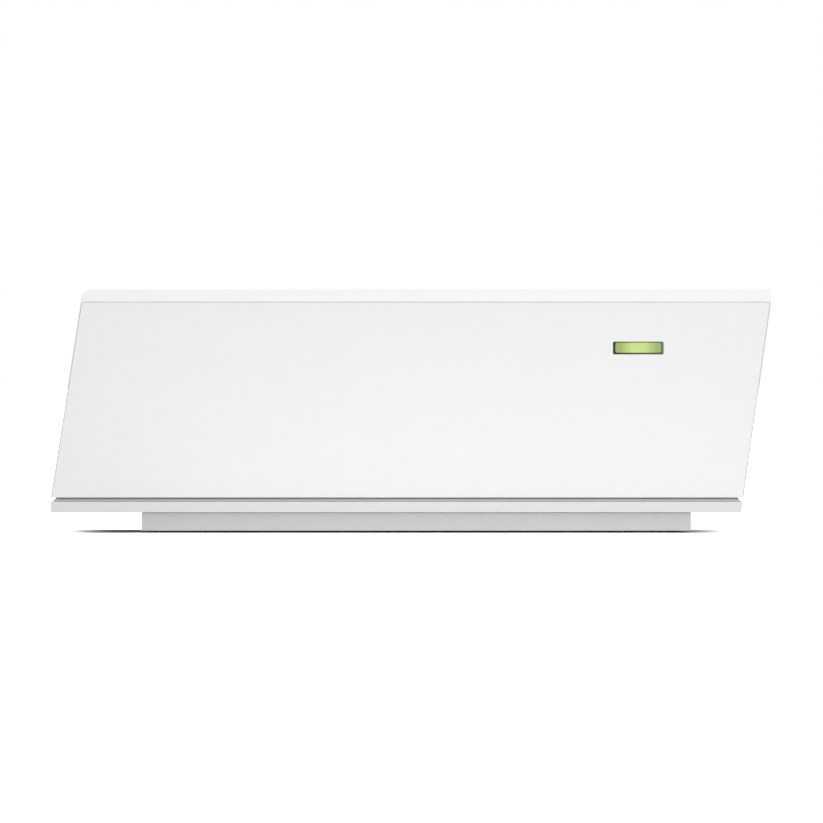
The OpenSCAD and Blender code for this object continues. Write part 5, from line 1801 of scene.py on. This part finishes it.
class DOORBELL_OT_chime(bpy.types.Operator):
    """Makes the chime's loudspeaker: basket, magnet, cone, surround, gasket, screws, leads and
    plug"""

    bl_idname = "doorbell.chime"
    bl_label = "Chime"

    def execute(self, context):
        low, high = corners("speaker_gasket")
        spot = (low[0] + high[0]) / 2, high[1], (low[2] + high[2]) / 2
        (x, y, z), r = spot, (high[0] - low[0]) / 2
        soften("speaker_basket", 0.07, look("basket"))
        magnet = [(0, -10.2), (2.2, -10.2), (2.4, -10.0), (5.6, -10.0), (5.8, -10.2), (7.3, -10.2),
                  (7.6, -9.9), (7.6, -7.8),
                  (7.4, -7.6), (7, -7.6), (7, -6.8), (0, -6.8)]
        piece("magnet_pot", (turned(magnet, spot, "y", 64), look("magnet")), "housing",
              ["speaker_magnet"])
        self.cone(spot, r)
        turn = np.linspace(0, math.pi, 13)
        mid = r - 2.6
        roll = np.vstack([np.stack([mid + 0.55 * np.cos(turn), -1.05 + 0.55 * np.sin(turn)], 1),
                          np.stack([mid + 0.3 * np.cos(turn[::-1]),
                                    -1.05 + 0.3 * np.sin(turn[::-1])], 1)])
        piece("cone_surround", (turned(np.vstack([roll, roll[:1]]), spot, "y", 72), look("cloth")),
              "housing",
              ["speaker_surround"])
        rim = [(r - 1.9, -0.7), (r - 1.8, -0.8), (r - 0.1, -0.8), (r, -0.7), (r, -0.1),
               (r - 0.1, 0), (r - 1.8, 0),
               (r - 1.9, -0.1), (r - 1.9, -0.7)]
        piece("foam_ring", (turned(rim, spot, "y", 72), look("foam")), "housing",
              ["speaker_gasket"])
        ears = [(x + (r + 1.2) * math.cos(a), y - 1.5,
                 z + (r + 1.2) * math.sin(a)) for a in np.radians((30, 150, 270))]
        screws = joined(*[screw(e, 1.9, 0.8, 0.9, 2.6, "-y", 0.6) for e in ears])
        piece("chime_screw_set", (screws, look("screws")), "housing", ["speaker_screws"])
        self.wiring(x, y, z)
        return {"FINISHED"}

    def cone(self, spot, r):
        """The cone's face rises outwards in a straight slope with a small ripple, a sine of
        the radius; the cap in its middle is a dome, and the former below it is a short tube."""
        out = np.linspace(4.2, r - 3.2, 40)
        slope = np.interp(out, [4.2, r - 3.2],
                          [-4.4, -1.5]) + 0.09 * np.sin((out - 4.2) * 2 * math.pi / 1.9)
        cap = np.linspace(0, 4.0, 12)
        dome = -2.9 - 1.45 * (cap / 4.0) ** 2.2
        front = np.concatenate([np.stack([cap, dome], 1), np.stack([out, slope], 1)])
        back = np.stack([out[::-1], slope[::-1] - 0.35], 1)
        inside = [(4, -6), (3.6, -6), (3.6, -4.7), (0, -3.3)]
        piece("cone_set", (turned(np.vstack([front, back, inside]), spot, "y", 72), look("cone")),
              "housing",
              ["speaker_cone"])

    def wiring(self, x, y, z):
        low, high = corners("speaker_plug")
        px, py, base = (low[0] + high[0]) / 2, (low[1] + high[1]) / 2, low[2]
        top, r = base + 6.1, 0.6
        red = smooth_path([(px - 1.2, py, top - 0.6), (px - 2, py, top + 5), (-36, 33, top + 9),
                           (x + 9, y - 14, z + 1),
                           (x + 3, y - 10.2 - r, z + 2)])
        dark = smooth_path([(px + 1.2, py, top - 0.6), (px + 1, py, top + 6), (-35, 35, top + 12),
                            (x + 9, y - 14, z + 5),
                            (x + 3, y - 10.2 - r, z + 5.5)])
        blob = [(0, -0.75), (0.5, -0.68), (0.9, -0.3), (1.1, 0), (0, 0)]
        tags = joined(*[turned(blob, (x + 3, y - 10.15, z + h), "y", 20) for h in (2, 5.5)])
        piece("chime_leads", [(swept(red, r, (0.1, 1, 0.15)), look("lead_red")),
                              (swept(dark, r, (0.1, 1, 0.15)), look("lead")),
                              (tags, look("tin"))], "housing", ["speaker_leads"])
        shell = tower((px, py, base), [(3, 2.5, 0.3, 0), (3, 2.5, 0.3, 3.4), (2.9, 2.4, 0.3, 3.5),
                                       (2.7, 2.1, 0.3, 3.5),
                                       (2.7, 2.1, 0.3, 3.2), (2.4, 1.8, 0.3, 3.2),
                                       (2.4, 1.8, 0.3, 5.85), (2.25, 1.65, 0.3, 6)])
        ribs = soft_boxes([[px - 1.6, py - 2.35, base + 3.4], [px + 0.8, py - 2.35, base + 3.4]],
                          [[px - 0.8, py - 1.7, base + 5.6], [px + 1.6, py - 1.7, base + 5.6]],
                          0.1)
        piece("chime_plug", (joined(shell, ribs), look("cream")), "housing",
              ["speaker_plug"])


STEPS = ("stage", "looks", "shells", "cover", "pads", "screws", "window", "guide", "board",
         "small", "chips", "sink",
         "radio", "cell", "network", "power", "terminal", "keys", "wheel", "chime")
CLASSES = (
    ShellSettings, WindowSettings, InsideSettings, StageSettings, DOORBELL_OT_stage,
    DOORBELL_OT_looks,
    DOORBELL_OT_shells, DOORBELL_OT_cover, DOORBELL_OT_pads, DOORBELL_OT_screws,
    DOORBELL_OT_window,
    DOORBELL_OT_guide, DOORBELL_OT_board, DOORBELL_OT_small, DOORBELL_OT_chips, DOORBELL_OT_sink,
    DOORBELL_OT_radio,
    DOORBELL_OT_cell, DOORBELL_OT_network, DOORBELL_OT_power, DOORBELL_OT_terminal,
    DOORBELL_OT_keys,
    DOORBELL_OT_wheel, DOORBELL_OT_chime,
)
GROUPS = {"doorbell_shell": ShellSettings, "doorbell_window": WindowSettings,
          "doorbell_inside": InsideSettings,
          "doorbell_stage": StageSettings}


class DOORBELL_PT_panel(bpy.types.Panel):
    """Lists the settings and the pieces in the order they are made"""

    bl_label = "Doorbell indoor unit"
    bl_idname = "DOORBELL_PT_panel"
    bl_space_type = "VIEW_3D"
    bl_region_type = "UI"
    bl_category = "Doorbell"

    def draw(self, context):
        for name in GROUPS:
            group = getattr(context.scene, name)
            box = self.layout.box()
            for key in group.bl_rna.properties.keys():
                if key not in ("rna_type", "name"):
                    box.prop(group, key)
        for step in STEPS:
            self.layout.operator("doorbell." + step)


def register():
    for kind in CLASSES + (DOORBELL_PT_panel,):
        bpy.utils.register_class(kind)
    for name, group in GROUPS.items():
        setattr(bpy.types.Scene, name, bpy.props.PointerProperty(type=group))


def unregister():
    for name in GROUPS:
        delattr(bpy.types.Scene, name)
    for kind in reversed(CLASSES + (DOORBELL_PT_panel,)):
        bpy.utils.unregister_class(kind)


def main():
    register()
    for step in STEPS:
        getattr(bpy.ops.doorbell, step)()
    bpy.context.view_layer.update()


if __name__ == "__main__":
    main()
